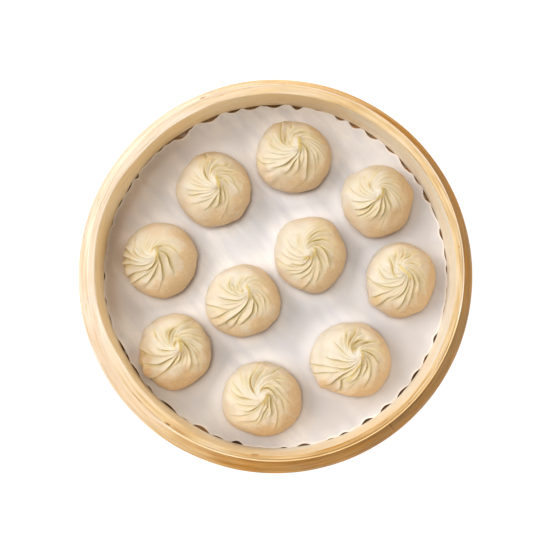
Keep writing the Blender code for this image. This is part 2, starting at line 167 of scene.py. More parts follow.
# Dumplings stand on the liner. The knot is how far a dumpling's top leans off its middle. A crease is its
# strength, how wide it opens, and its way inwards in steps of angle and share of the radius. A ridge is
# its height, the width of its gentle side and of its steep side, which is on the right of its way, and its
# way in steps of X and Y from the knot. A slit is its depth, half width and way. A dent in the outline is
# its angle, half its length in degrees and its depth. A tan patch is its angle, share of the radius, size
# and strength. A lump, where a pleat's end bulges, is its angle, share of the radius, size, height and how
# tan it is. A calm stretch, with only short finer creases, is the two angles that it lies between.
DUMPLING_BASE = node_box("dumpling_01")[0][2]
DUMPLINGS = (
    {
        "at": (-41.0, 58.0), "width": (50.0, 49.1), "height": 27.5, "knot": (2.7, 2.5),
        "ridges": ((1.9, 4.6, 3.8, ((0.2, -4.6), (0.0, -2.2), (-0.4, 0.2), (-1.1, 2.8), (-2.2, 6.0))),),
        "tan": ((100, .9, 9.0, .8), (75, .86, 5.0, .4), (200, .95, 8.0, .35)),
        "creases": (
            (1.0, 1.0, ((102, .68), (110, .56), (128, .44), (152, .23))),
            (0.9, 0.9, ((56, .70), (63, .53), (84, .46), (109, .34))),
            (0.7, 0.8, ((35, .59), (43, .46), (75, .31))),
            (0.6, 0.8, ((3, .51), (18, .45), (40, .36))),
            (0.6, 0.8, ((0, .28), (15, .23), (40, .17), (60, .15))),
            (0.3, 0.7, ((152, .62), (160, .48), (172, .34))),
            (0.5, 0.8, ((205, .68), (209, .58), (216, .46))),
            (0.4, 0.8, ((232, .46), (244, .37), (258, .26))),
            (0.7, 1.0, ((254, .65), (260, .50), (270, .36))),
            (1.0, 1.3, ((278, .56), (283, .43), (288, .31), (300, .18))),
            (0.7, 1.0, ((300, .50), (308, .36), (320, .22))),
            (0.5, 0.9, ((345, .65), (352, .56), (362, .44))),
            (0.6, 1.4, ((103, 1.0), (105, .87), (106, .75))),
            (0.3, 0.6, ((165, .66), (172, .52), (184, .38))),
            (0.3, 0.6, ((178, .62), (188, .46), (204, .30))),
            (0.3, 0.6, ((192, .70), (200, .54), (214, .36))),
        ),
    },
    {
        "at": (11.7, 79.6), "width": (50.0, 47.7), "height": 27.0, "knot": (2.4, 4.9),
        "ridges": ((1.9, 4.4, 4.2, ((0.3, -4.6), (0.5, -1.6), (0.5, 1.6), (-0.2, 4.6), (-0.6, 7.0))),),
        "tan": ((115, .95, 8.0, .7), (70, .8, 8.0, .5), (205, .95, 8.0, .5), (120, .62, 5.0, .4)),
        "lumps": ((228, .88, 4.0, 1.6, .7), (212, .76, 4.0, 1.2, 0)),
        "creases": (
            (1.0, 1.1, ((109, .93), (118, .74), (135, .54), (152, .42))),
            (0.6, 0.8, ((120, .48), (140, .37), (160, .29))),
            (0.6, 0.8, ((68, .68), (78, .59), (100, .49))),
            (0.6, 0.8, ((52, .59), (62, .49), (85, .39), (108, .31))),
            (0.5, 0.8, ((93, .80), (97, .71), (100, .62))),
            (0.6, 0.8, ((118, .26), (140, .21), (170, .17))),
            (0.4, 0.6, ((148, .80), (154, .71), (163, .60))),
            (0.5, 0.7, ((163, .71), (169, .64), (176, .57))),
            (0.5, 0.8, ((185, .97), (192, .92), (200, .86))),
            (0.9, 1.3, ((226, .65), (238, .49), (250, .34))),
            (0.9, 1.0, ((253, .62), (257, .51), (262, .40))),
            (0.8, 0.9, ((278, .56), (280, .42), (283, .28))),
            (1.0, 1.2, ((295, .77), (300, .59), (315, .40), (337, .28), (360, .20), (390, .10))),
            (0.4, 0.7, ((335, .68), (342, .62), (352, .54))),
            (0.4, 0.7, ((20, .74), (32, .60), (50, .46))),
            (0.4, 0.7, ((35, .72), (45, .60), (60, .50))),
        ),
    },
    {
        "at": (67.4, 50.5), "width": (47.7, 47.8), "height": 28.0, "knot": (-0.8, 3.8),
        "ridges": ((1.6, 5.8, 2.8, ((-2.4, -3.6), (-0.2, -3.0), (1.6, -1.6), (2.2, 1.0), (1.4, 4.4))),),
        "tan": ((80, .95, 8.0, .6), (0, .85, 9.0, .4), (205, .9, 6.0, .5)),
        "creases": (
            (1.0, 1.4, ((218, .65), (230, .48), (242, .31))),
            (0.8, 0.8, ((229, .71), (241, .52), (255, .28))),
            (0.9, 0.9, ((259, .65), (267, .55), (275, .45), (288, .28))),
            (0.8, 0.9, ((281, .62), (290, .51), (299, .40), (312, .26))),
            (0.9, 1.1, ((316, .49), (325, .31), (348, .20))),
            (0.8, 0.8, ((0, .28), (18, .20), (28, .15))),
            (0.6, 0.8, ((24, .51), (30, .46), (50, .32))),
            (0.7, 0.8, ((122, .37), (132, .31), (142, .26))),
            (0.3, 0.7, ((48, .93), (56, .77), (65, .62))),
            (0.3, 0.7, ((80, .74), (100, .49), (122, .35))),
            (0.3, 0.7, ((88, .90), (91, .80), (95, .71))),
            (0.3, 0.7, ((118, .65), (124, .60), (130, .56))),
            (0.3, 0.7, ((152, .62), (167, .51), (182, .40))),
            (0.3, 0.7, ((163, .80), (171, .69), (179, .59))),
            (0.4, 0.7, ((196, .66), (206, .52), (220, .36))),
        ),
    },
    {
        "at": (-76.2, 10.9), "width": (48.7, 49.8), "height": 26.5, "knot": (-2.0, 3.4),
        "calm": ((325, 470),),
        "ridges": ((1.3, 4.6, 3.2, ((-1.6, -6.0), (-0.4, -3.0), (0.5, 0.0), (0.2, 3.2), (-0.6, 5.0))),),
        "tan": ((95, .8, 10.0, .6), (20, .8, 10.0, .5), (225, .9, 8.0, .6)),
        "lumps": ((236, .78, 3.4, 1.3, 0), (223, .86, 3.0, 1.3, .3), (201, .92, 2.8, 1.1, .2),
                  (186, .92, 2.4, 0.9, .2)),
        "creases": (
            (0.8, 0.9, ((38, .31), (60, .23), (85, .17), (140, .10))),
            (0.5, 0.8, ((13, .54), (22, .48), (37, .39))),
            (0.9, 1.0, ((319, .59), (328, .43), (360, .27), (380, .17))),
            (0.9, 0.9, ((283, .65), (298, .34), (315, .15), (350, .09))),
            (0.8, 0.9, ((250, .74), (255, .63), (262, .52), (272, .38))),
            (1.0, 1.4, ((240, .46), (252, .34), (268, .22))),
            (0.6, 0.8, ((201, .65), (206, .58), (212, .52), (226, .38))),
            (0.7, 1.0, ((208, 1.0), (211, .87), (215, .74))),
            (0.5, 0.8, ((150, .70), (160, .64), (170, .59), (186, .44))),
            (0.4, 0.8, ((120, .37), (135, .31), (150, .25))),
            (0.3, 0.7, ((143, .52), (162, .38), (185, .25))),
            (0.6, 0.9, ((163, .98), (166, .86), (172, .74))),
            (0.6, 0.9, ((177, .98), (180, .84), (188, .68))),
            (0.6, 0.9, ((189, .98), (192, .84), (200, .68))),
            (0.6, 0.9, ((221, .98), (225, .86), (232, .72), (240, .60))),
        ),
    },
    {
        "at": (22.9, 15.2), "width": (47.8, 50.0), "height": 27.5, "knot": (-1.7, 0.0),
        "calm": ((95, 190),),
        "ridges": ((1.5, 5.0, 3.6, ((-4.6, -3.2), (-1.6, -2.5), (1.6, -2.1), (3.2, 0.2), (2.6, 3.6))),),
        "slits": ((0.6, 1.6, ((-3.0, -6.4), (-0.6, -4.6), (0.8, -3.8))),),
        "tan": ((40, .95, 8.0, .4), (330, .95, 8.0, .4)),
        "creases": (
            (1.0, 1.0, ((330, .65), (340, .56), (360, .43), (375, .37), (390, .31))),
            (0.9, 1.0, ((20, .65), (38, .49), (55, .34), (77, .25))),
            (0.9, 1.0, ((47, .73), (62, .59), (80, .40))),
            (0.4, 0.7, ((120, .49), (130, .41), (140, .34))),
            (0.3, 0.7, ((155, .62), (165, .45), (175, .28))),
            (0.5, 0.9, ((192, .90), (200, .78), (212, .65), (224, .54))),
            (0.9, 1.3, ((218, .50), (235, .40), (252, .31))),
            (0.7, 0.9, ((235, .71), (248, .58), (265, .43), (300, .23))),
            (0.6, 0.8, ((257, .68), (270, .56), (283, .45))),
            (0.6, 0.8, ((260, .93), (267, .82), (275, .71))),
            (0.6, 0.8, ((290, .71), (295, .65), (300, .59))),
            (0.7, 0.9, ((308, .59), (333, .31), (360, .22), (400, .19))),
            (0.4, 0.7, ((222, .72), (236, .58), (252, .45))),
            (0.4, 0.7, ((275, .62), (288, .48), (305, .32))),
            (0.4, 0.7, ((205, .72), (216, .62), (228, .54))),
            (0.3, 0.7, ((66, .92), (74, .76), (86, .62))),
        ),
    },
    {
        "at": (83.0, -2.2), "width": (46.3, 49.4), "height": 27.0, "knot": (0.4, 5.0),
        "calm": ((112, 172),),
        "ridges": ((1.5, 2.0, 3.2, ((3.2, -6.6), (2.6, -4.6), (1.2, -2.4), (-1.8, 0.2), (-3.8, 3.0),
                                   (-3.6, 5.6))),),
        "slits": ((0.5, 1.8, ((-2.6, 3.4), (-1.8, 4.6))),),
        "tan": ((40, .8, 9.0, .5), (95, .85, 8.0, .4), (330, .85, 9.0, .5)),
        "lumps": ((219, .90, 4.6, 1.7, .95),),
        "creases": (
            (0.7, 0.9, ((130, .59), (150, .36), (188, .28), (230, .23))),
            (0.5, 0.8, ((170, .65), (182, .58), (195, .52))),
            (0.6, 0.8, ((182, .90), (210, .62), (240, .42), (260, .34))),
            (0.7, 1.0, ((212, .93), (216, .83), (220, .74))),
            (0.6, 0.9, ((227, .96), (235, .74), (250, .59))),
            (0.9, 0.9, ((250, .68), (260, .58), (270, .49), (284, .36))),
            (0.8, 0.9, ((266, .80), (271, .70), (277, .60))),
            (0.8, 0.9, ((289, .71), (294, .61), (300, .52))),
            (0.8, 0.9, ((310, .49), (318, .40), (328, .31))),
            (1.0, 1.3, ((319, .60), (330, .49), (342, .39))),
            (0.6, 0.8, ((350, .30), (365, .25), (385, .19))),
            (0.7, 0.8, ((30, .39), (45, .32), (60, .25))),
            (0.6, 0.8, ((62, .59), (67, .46), (82, .36))),
            (0.6, 0.7, ((86, .68), (89, .46), (100, .39))),
            (0.6, 0.7, ((105, .68), (112, .52), (122, .43))),
            (0.4, 0.7, ((196, .80), (214, .66), (232, .52))),
        ),
    },
    {
        "at": (-22.1, -16.4), "width": (48.2, 47.7), "height": 27.5, "knot": (3.4, 5.8),
        "calm": ((75, 125),),
        "ridges": ((1.4, 4.4, 3.0, ((0.2, -5.4), (0.9, -2.4), (0.7, 0.4), (-0.6, 2.8), (-1.8, 4.2))),),
        "slits": ((0.9, 0.6, ((-2.3, 1.2), (-2.0, 0.5))),),
        "tan": ((35, .8, 9.0, .9), (60, .95, 8.0, .7), (5, .95, 8.0, .5), (300, .9, 7.0, .5)),
        "lumps": ((222, .82, 4.8, 1.7, .7), (240, .78, 3.0, 1.2, 0)),
        "creases": (
            (1.0, 1.1, ((232, .86), (242, .65), (258, .43), (275, .28))),
            (0.7, 0.8, ((251, .83), (253, .72), (256, .62), (264, .48))),
            (1.0, 1.0, ((268, .71), (278, .61), (290, .51), (304, .36))),
            (0.8, 0.9, ((306, .56), (315, .43), (320, .20))),
            (0.5, 0.8, ((333, .62), (341, .56), (350, .51))),
            (0.7, 0.8, ((133, .57), (145, .51), (157, .46))),
            (0.6, 0.8, ((188, .62), (205, .43), (228, .29))),
            (0.5, 0.8, ((150, .37), (168, .31), (185, .26))),
            (0.5, 0.8, ((98, .43), (125, .31), (163, .22))),
            (0.7, 0.8, ((140, .15), (160, .12), (180, .10))),
            (0.5, 0.8, ((188, .96), (200, .77), (222, .59))),
            (0.5, 0.8, ((215, .90), (220, .75), (225, .62))),
            (0.4, 0.7, ((20, .50), (36, .40), (58, .30))),
            (0.4, 0.7, ((58, .62), (68, .50), (84, .38))),
        ),
    },
    {
        "at": (-66.8, -50.0), "width": (47.8, 50.5), "height": 28.0, "knot": (3.7, 4.0),
        "calm": ((290, 340),),
        "ridges": ((1.8, 2.6, 3.4, ((0.6, -4.6), (0.9, -1.6), (0.7, 1.4), (0.1, 4.2), (-0.4, 5.6))),),
        "slits": ((1.1, 0.8, ((-1.3, 0.8), (-0.8, 2.0), (-0.3, 3.0))),),
        "tan": ((195, .9, 9.0, .9), (215, .9, 6.0, .7), (245, .95, 8.0, .3)),
        "lumps": ((198, .92, 3.8, 1.6, .7), (214, .86, 5.2, 1.9, .85)),
        "creases": (
            (1.0, 1.2, ((60, .96), (70, .71), (88, .56), (108, .43), (143, .25))),
            (0.8, 0.9, ((108, .57), (116, .51), (125, .45))),
            (0.6, 0.8, ((140, .74), (145, .66), (150, .59))),
            (0.9, 0.9, ((85, .19), (125, .11), (180, .08))),
            (0.6, 0.8, ((80, .28), (95, .27), (110, .26))),
            (0.5, 0.7, ((40, .93), (50, .74), (62, .59))),
            (0.5, 0.7, ((24, .90), (26, .82), (29, .74), (38, .62))),
            (0.4, 0.7, ((30, .62), (45, .51), (62, .40))),
            (1.0, 1.2, ((347, .31), (360, .26), (375, .20), (400, .20))),
            (0.6, 0.8, ((312, .62), (328, .46), (345, .31))),
            (0.9, 1.3, ((270, .40), (280, .33), (290, .25))),
            (0.9, 1.0, ((240, .68), (246, .54), (253, .40), (262, .28))),
            (0.9, 1.1, ((208, .77), (220, .62), (232, .40))),
            (0.7, 0.9, ((185, .46), (193, .35), (202, .25))),
            (0.6, 0.9, ((176, .98), (180, .90), (186, .80))),
            (0.6, 0.8, ((198, .90), (211, .95), (225, 1.0))),
            (0.5, 0.7, ((8, .80), (16, .66), (28, .52))),
        ),
    },
    {
        "at": (50.1, -55.6), "width": (53.1, 50.9), "height": 28.0, "knot": (3.1, 3.4),
        "calm": ((118, 182),),
        "ridges": ((1.7, 2.6, 2.4, ((-9.6, -17.4), (-6.8, -15.0), (-3.6, -11.4), (-1.4, -8.0), (1.0, -4.4),
                                    (2.4, -0.6), (1.7, 3.2), (0.8, 5.4))),),
        "dents": ((262, 46, 1.8),),
        "lumps": ((221, .90, 5.0, 1.9, .95),),
        "tan": ((224, .9, 6.0, 1.0), (275, .8, 12.0, .5), (310, .8, 12.0, .7), (350, .75, 12.0, .6),
                (35, .85, 9.0, .4), (200, .95, 6.0, .3)),
        "creases": (
            (1.0, 1.3, ((265, .59), (278, .43), (298, .22))),
            (0.8, 0.8, ((296, .46), (309, .38), (323, .31))),
            (0.6, 0.7, ((300, .65), (307, .60), (315, .56))),
            (0.5, 0.7, ((293, .71), (308, .55), (325, .40))),
            (0.6, 0.7, ((345, .59), (352, .49), (360, .40))),
            (0.9, 0.9, ((0, .45), (15, .31), (38, .22))),
            (1.0, 0.9, ((36, .68), (45, .53), (58, .40))),
            (1.0, 0.9, ((65, .48), (88, .37), (115, .26))),
            (0.7, 0.8, ((85, .80), (90, .62), (105, .46), (122, .35))),
            (0.7, 0.8, ((104, .71), (109, .61), (115, .52))),
            (0.4, 0.7, ((120, .62), (125, .57), (130, .53))),
            (0.4, 0.7, ((143, .62), (152, .43), (170, .28))),
            (0.8, 0.8, ((95, .23), (110, .20), (125, .17))),
            (0.6, 0.8, ((183, .62), (192, .43), (210, .29))),
            (0.5, 0.7, ((185, .99), (190, .87), (195, .74))),
            (0.5, 0.7, ((201, .96), (204, .86), (208, .77))),
            (0.9, 0.9, ((215, .49), (223, .43), (232, .37))),
            (0.9, 0.8, ((229, .83), (232, .59), (240, .45))),
            (0.8, 0.8, ((248, .86), (245, .76), (240, .65))),
            (0.4, 0.7, ((325, .50), (342, .36), (360, .24))),
        ),
    },
    {
        "at": (-9.5, -81.5), "width": (53.3, 50.0), "height": 27.5, "knot": (0.6, 3.5),
        "ridges": ((2.0, 3.6, 4.4, ((-1.8, -4.2), (0.0, -2.7), (1.3, -1.4), (2.5, 1.2), (4.5, 3.9))),),
        "dents": ((256, 44, 1.1),),
        "tan": ((85, .95, 6.0, .6), (330, .85, 10.0, .4), (195, .9, 9.0, .3)),
        "creases": (
            (1.0, 1.3, ((90, .96), (100, .74), (115, .56), (142, .25))),
            (0.6, 0.8, ((85, .71), (96, .55), (108, .40))),
            (0.4, 0.8, ((122, .93), (129, .78), (138, .62))),
            (0.6, 0.7, ((60, .93), (64, .82), (68, .71))),
            (0.6, 0.7, ((42, .77), (48, .69), (55, .62))),
            (0.5, 0.7, ((22, .62), (40, .57), (60, .52))),
            (0.4, 0.7, ((0, .55), (30, .43), (62, .35))),
            (1.0, 1.0, ((0, .34), (28, .28), (55, .25), (85, .17))),
            (0.7, 0.8, ((168, .71), (180, .49), (190, .31))),
            (0.5, 0.8, ((200, .56), (215, .40), (230, .31))),
            (0.8, 0.9, ((228, .49), (238, .38), (248, .28))),
            (0.5, 0.8, ((235, .74), (258, .59), (272, .34))),
            (0.8, 0.8, ((268, .59), (278, .40), (297, .29))),
            (1.0, 1.0, ((300, .49), (318, .28), (360, .20))),
            (0.4, 0.7, ((333, .62), (345, .52), (360, .43))),
            (0.4, 0.7, ((150, .80), (158, .62), (170, .46))),
        ),
    },
)

# Form of every dumpling: the share of its height where it is widest, its foot's share of the radius, how
# pointed the dome is, and the nub on top of the knot. Its surface sags and is grainy: size, length and
# number of the waves of each unevenness.
WAIST = 0.33
FOOT_RADIUS = 0.82
POINTED = 0.1
NUB_HEIGHT = 2.0
NUB_RADIUS = 4.2
SAGS = ((0.44, 26.0, 14), (0.19, 10.0, 14), (0.03, 3.0, 24))
CROWN_ROWS = 76
SKIRT_ROWS = 14
FOOT_ROWS = 3
DUMPLING_ROWS = CROWN_ROWS + SKIRT_ROWS + FOOT_ROWS
DUMPLING_COLUMNS = 320

# Pleats turn clockwise outwards. A crease falls gently on its counterclockwise side, and is overlapped by a
# raised flap on the other. Its core gets painted shade, wider at the back left, where light falls into it.
# Beside it the dough is tinted yellowish as painted shade, and is gathered thick.
SWIRL = 52.0
CREASE_DEPTH = 1.9
GENTLE_WIDTH = 3.8
STEEP_WIDTH = 1.0
FLAP_HEIGHT = 1.3
FLAP_PUSH = 0.7
FLAP_WIDTH = 3.2
FLAP_CREST = 0.32
CORE_WIDTH = 0.55
GLOW_WIDTH = 2.0
FINGER_WIDTH = 3.0
CREASE_REACH = 6.0
BACK_LEFT = np.array((-0.42, 0.91))

# Strength and darkness at a crease's outer and inner stop. From there it runs on, out by a share of the
# radius to where it fades, and in to the knot by steps that are each a share of the last one.
OUTER_STOP = (0.7, 0.35)
INNER_STOP = (0.8, 0.5)
FADE_OUT = 0.10
INWARD_STRENGTH = 0.58
INWARD_FADE = 0.80
INWARD_STEP = 0.74
INNERMOST = (0.12, 0.08)

# Finer creases fill gaps between the main ones, which are counted where those cross a share of the radius.
FILLER_GAP = 24.0
FILLER_LEVEL = 0.42


# ---------------------------------------------------------------- shapes in numbers

def smooth(value):
    """0 up to 0, 1 from 1 on, and a smooth rise between."""
    value = np.clip(value, 0.0, 1.0)
    return value * value * (3.0 - 2.0 * value)


def bell(distance, width):
    """A bell curve of height 1, down to about a third at its width."""
    return np.exp(-((distance / width) ** 2))


def angle_off(degrees, centre):
    """How far angles lie from a centre, whichever way round is shorter."""
    return np.abs((degrees - centre + 180.0) % 360.0 - 180.0)


def bump(degrees, centre, half_width):
    """A smooth bump of height 1 round an angle."""
    return smooth(1.0 - angle_off(degrees, centre) / half_width)


def facing(degrees, heading):
    """1 where angles match a heading, 0 on the opposite side."""
    return 0.5 + 0.5 * np.cos(np.radians(degrees - heading))


def plateau(degrees, span):
    """1 between the two middle angles of a span, falling smoothly to 0 at its two ends."""
    start, full, fade, end = span
    degrees = (degrees - start) % 360.0 + start
    return smooth((degrees - start) / (full - start)) * smooth((end - degrees) / (end - fade))


def shifted_circle(degrees, radius, shift):
    """Distance from the tier's axis, at an angle, to a circle whose centre is shifted off the axis."""
    angle = np.radians(degrees)
    along = shift[0] * np.cos(angle) + shift[1] * np.sin(angle)
    across = shift[1] * np.cos(angle) - shift[0] * np.sin(angle)
    return along + np.sqrt(radius**2 - across**2)


def wall_face(degrees, level):
    """Radius of the wall's inner face; level goes from 0 at the floor to 1 at the lip's top."""
    splice = (SPLICE_STEP[0] + (SPLICE_STEP[1] - SPLICE_STEP[0]) * level) * plateau(degrees, SPLICE_SPAN)
    bow = (BOW_STEP[0] + (BOW_STEP[1] - BOW_STEP[0]) * level) * plateau(degrees, BOW_SPAN)
    return shifted_circle(degrees, WALL_RADIUS, WALL_SHIFT) - splice + bow


class Waves:
    """Smooth seeded unevenness: a sum of plane waves whose lengths lie round a given one."""

    def __init__(self, seed, wavelength, count=14, stretch=(1.0, 1.0, 1.0)):
        rng = np.random.default_rng(seed)
        directions = rng.normal(size=(count, 3))
        directions /= np.linalg.norm(directions, axis=1)[:, None]
        lengths = wavelength * rng.uniform(0.7, 1.6, count)
        self.waves = directions * (2.0 * math.pi / lengths)[:, None] / np.array(stretch)
        self.phases = rng.uniform(0.0, 2.0 * math.pi, count)
        self.scale = math.sqrt(2.0 / count)

    def at(self, points):
        """Values with mean 0 and spread 1 at an array of points."""
        flat = np.asarray(points).reshape(-1, 3)
        total = np.zeros(len(flat))
        for wave, phase in zip(self.waves, self.phases):
            total += np.sin(flat @ wave + phase)
        return (self.scale * total).reshape(np.asarray(points).shape[:-1])


def grid_faces(rows, columns, wrap_columns=True, wrap_rows=False):
    """Quads over a grid of points numbered row by row."""
    row = np.arange(rows if wrap_rows else rows - 1)
    column = np.arange(columns if wrap_columns else columns - 1)
    low, left = np.meshgrid(row, column, indexing="ij")
    high = (low + 1) % rows
    right = (left + 1) % columns
    corners = (low * columns + left, low * columns + right, high * columns + right, high * columns + left)
    return np.stack(corners, axis=-1).reshape(-1, 4)


def grid_normals(points, wrap_rows=False):
    """Unit normals of a grid of points whose rows close on themselves."""
    along_row = np.roll(points, -1, axis=1) - np.roll(points, 1, axis=1)
    if wrap_rows:
        along_column = np.roll(points, -1, axis=0) - np.roll(points, 1, axis=0)
    else:
        along_column = np.gradient(points, axis=0)
    normals = np.cross(along_row, along_column)
    length = np.linalg.norm(normals, axis=-1, keepdims=True)
    return normals / np.maximum(length, 1e-9)


def closed_rings(points):
    """Points and faces of a closed form from rings, with a fan to a middle point over each end ring."""
    rings, count = points.shape[:2]
    every = np.arange(count)
    following = (every + 1) % count
    last = (rings - 1) * count
    middle = np.full(count, rings * count)
    first_fan = np.stack([every, following, middle], axis=-1)
    last_fan = np.stack([last + following, last + every, middle + 1], axis=-1)
    all_points = np.vstack([points.reshape(-1, 3), points[0].mean(axis=0), points[-1].mean(axis=0)])
    return all_points, [*grid_faces(rings, count)[:, ::-1], *first_fan, *last_fan]


def add_piece(name, node, points, faces, material, slot, looks, sharp=None):
    """Make a closed mesh from points in millimetres, with looks by point, to stand for a CAD node."""
    corners = np.asarray(points, float).reshape(-1, 3) * MM
    mesh = bpy.data.meshes.new(name)
    mesh.from_pydata(corners.tolist(), [], [list(map(int, face)) for face in faces])
    mesh.validate()
    for key, values in looks.items():
        layer = mesh.attributes.new(key, "FLOAT", "POINT")
        layer.data.foreach_set("value", np.asarray(values, np.float32).reshape(-1))
    mesh.materials.append(material)
    mesh.shade_smooth()
    if sharp is not None:
        mesh.set_sharp_from_angle(angle=math.radians(sharp))
    piece = bpy.data.objects.new(name, mesh)
    bpy.context.scene.collection.objects.link(piece)
    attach(piece, BODY)
    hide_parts(node)


# ---------------------------------------------------------------- materials

def add_node(tree, kind, inputs=None, **settings):
    """A shader node with its settings; an input is a value, or a socket to link from."""
    made = tree.nodes.new(kind)
    for key, value in settings.items():
        setattr(made, key, value)
    for key, value in (inputs or {}).items():
        if isinstance(value, bpy.types.NodeSocket):
            tree.links.new(value, made.inputs[key])
        else:
            made.inputs[key].default_value = value
    return made


def new_material(name, roughness, specular):
    """A material with its node tree and its shader."""
    material = bpy.data.materials.new(name)
    material.use_nodes = True
    shader = material.node_tree.nodes["Principled BSDF"]
    shader.inputs["Roughness"].default_value = roughness
    shader.inputs["Specular IOR Level"].default_value = specular
    return material, material.node_tree, shader


def own_place(tree):
    """Place on the piece, in metres."""
    return add_node(tree, "ShaderNodeTexCoord").outputs["Object"]


def mix_colours(tree, factor, first, second, blend="MIX"):
    """Colour socket that goes from the first colour to the second, or to the two blended."""
    made = add_node(tree, "ShaderNodeMix", data_type="RGBA", blend_type=blend)
    sockets = {socket.name: socket for socket in made.inputs if socket.enabled}
    for name, value in (("Factor", factor), ("A", first), ("B", second)):
        if isinstance(value, bpy.types.NodeSocket):
            tree.links.new(value, sockets[name])
        else:
            sockets[name].default_value = (*value, 1.0)
    return next(socket for socket in made.outputs if socket.enabled)


def multiply(tree, value, factor):
    """Output socket of a value times a number."""
    return add_node(tree, "ShaderNodeMath", {0: value, 1: factor}, operation="MULTIPLY").outputs[0]


def spread(tree, value, low, high, kind="SMOOTHSTEP"):
    """Map low..high to 0..1 with a smooth ramp, or a straight one if kind is LINEAR."""
    ends = {"Value": value, "From Min": low, "From Max": high}
    return add_node(tree, "ShaderNodeMapRange", ends, interpolation_type=kind).outputs["Result"]


def mapped(tree, vector, kind="POINT", **moves):
    """A vector after a mapping node's Location, Rotation or Scale."""
    return add_node(tree, "ShaderNodeMapping", {"Vector": vector, **moves}, vector_type=kind).outputs[0]


def attribute(tree, name):
    return add_node(tree, "ShaderNodeAttribute", attribute_name=name).outputs["Fac"]


def noise(tree, vector, scale, detail=3.0, roughness=0.55, w=None):
    """Noise about 0.5, in four dimensions if w is given."""
    inputs = {"Vector": vector, "Scale": scale, "Detail": detail, "Roughness": roughness}
    if w is not None:
        inputs["W"] = w
    made = add_node(tree, "ShaderNodeTexNoise", inputs, noise_dimensions="3D" if w is None else "4D")
    return made.outputs["Fac"]


def add_bump(tree, shader, height, strength, distance_mm):
    inputs = {"Height": height, "Strength": strength, "Distance": distance_mm * MM}
    tree.links.new(add_node(tree, "ShaderNodeBump", inputs).outputs["Normal"], shader.inputs["Normal"])


def dough_material():
    """Steamed dough: cream where thick, tan where thin; painted shade tints its shaded side and its
    creases.
    """
    material, tree, shader = new_material("steamed_dough", 0.5, 0.35)
    place = own_place(tree)
    cloud = spread(tree, noise(tree, place, 90.0, 2.0), 0.35, 0.65)
    speck = spread(tree, noise(tree, place, 700.0, 3.0), 0.3, 0.7)
    cream = mix_colours(tree, cloud, (0.705, 0.625, 0.485), (0.735, 0.67, 0.56))
    tan = mix_colours(tree, speck, (0.645, 0.447, 0.252), (0.70, 0.507, 0.30))
    # Tan where the dough is thin, and as painted shade on its side away from the light.
    colour = mix_colours(tree, attribute(tree, "thin"), cream, tan)
    # Painted olive shade on the knot ridges' steep faces and beside the creases.
    colour = mix_colours(tree, attribute(tree, "olive"), colour, (0.75, 0.61, 0.27))
    # Painted shade in the creases: darker where they are deep, and in each crease's core.
    colour = mix_colours(tree, attribute(tree, "fold"), colour, (0.42, 0.28, 0.08))
    tree.links.new(colour, shader.inputs["Base Color"])
    shader.inputs["Subsurface Weight"].default_value = 0.25
    shader.inputs["Subsurface Radius"].default_value = (0.0035, 0.0022, 0.0012)
    shader.inputs["Subsurface Scale"].default_value = 1.0
    add_bump(tree, shader, noise(tree, place, 1300.0, 4.0, 0.6), 0.25, 0.12)
    return material


def paper_material():
    """Greaseproof paper, mottled and streaked, with painted shade, shadow and edge highlight."""
    material, tree, shader = new_material("liner_paper", 0.85, 0.2)
    place = own_place(tree)
    moved = mapped(tree, place, Location=(0.37, 0.11, 0.0))
    turned = (0.0, 0.0, math.radians(GRAIN_SLANT))
    drawn = mapped(tree, place, "TEXTURE", Rotation=turned, Scale=(4.0, 1.0, 1.0))
    cool = spread(tree, noise(tree, place, 26.0, 2.0), 0.38, 0.66)
    warm = spread(tree, noise(tree, moved, 30.0, 2.0), 0.42, 0.68)
    streak = multiply(tree, spread(tree, noise(tree, drawn, 95.0, 3.0), 0.40, 0.66), 0.4)
    fibre = noise(tree, place, 1500.0, 4.0, 0.7)
    colour = mix_colours(tree, cool, (0.935, 0.905, 0.88), (0.885, 0.875, 0.895))
    # Painted shade in the open, streaks, painted shadow, painted contact shadow and a painted edge
    # highlight.
    layers = (
        (warm, (0.945, 0.90, 0.865)), (attribute(tree, "painted_open_shade"), (0.605, 0.58, 0.58)),
        (streak, (0.60, 0.595, 0.64)), (attribute(tree, "painted_shadow"), (0.52, 0.41, 0.325)),
        (attribute(tree, "painted_contact_shadow"), (0.28, 0.19, 0.13)), (attribute(tree, "painted_edge_highlight"), (0.97, 0.89, 0.83)),
    )
    for factor, tint in layers:
        colour = mix_colours(tree, factor, colour, tint)
    colour = mix_colours(tree, spread(tree, fibre, 0.1, 0.5), (0.62, 0.57, 0.53), colour)
    tree.links.new(colour, shader.inputs["Base Color"])
    add_bump(tree, shader, fibre, 0.15, 0.05)
    return material


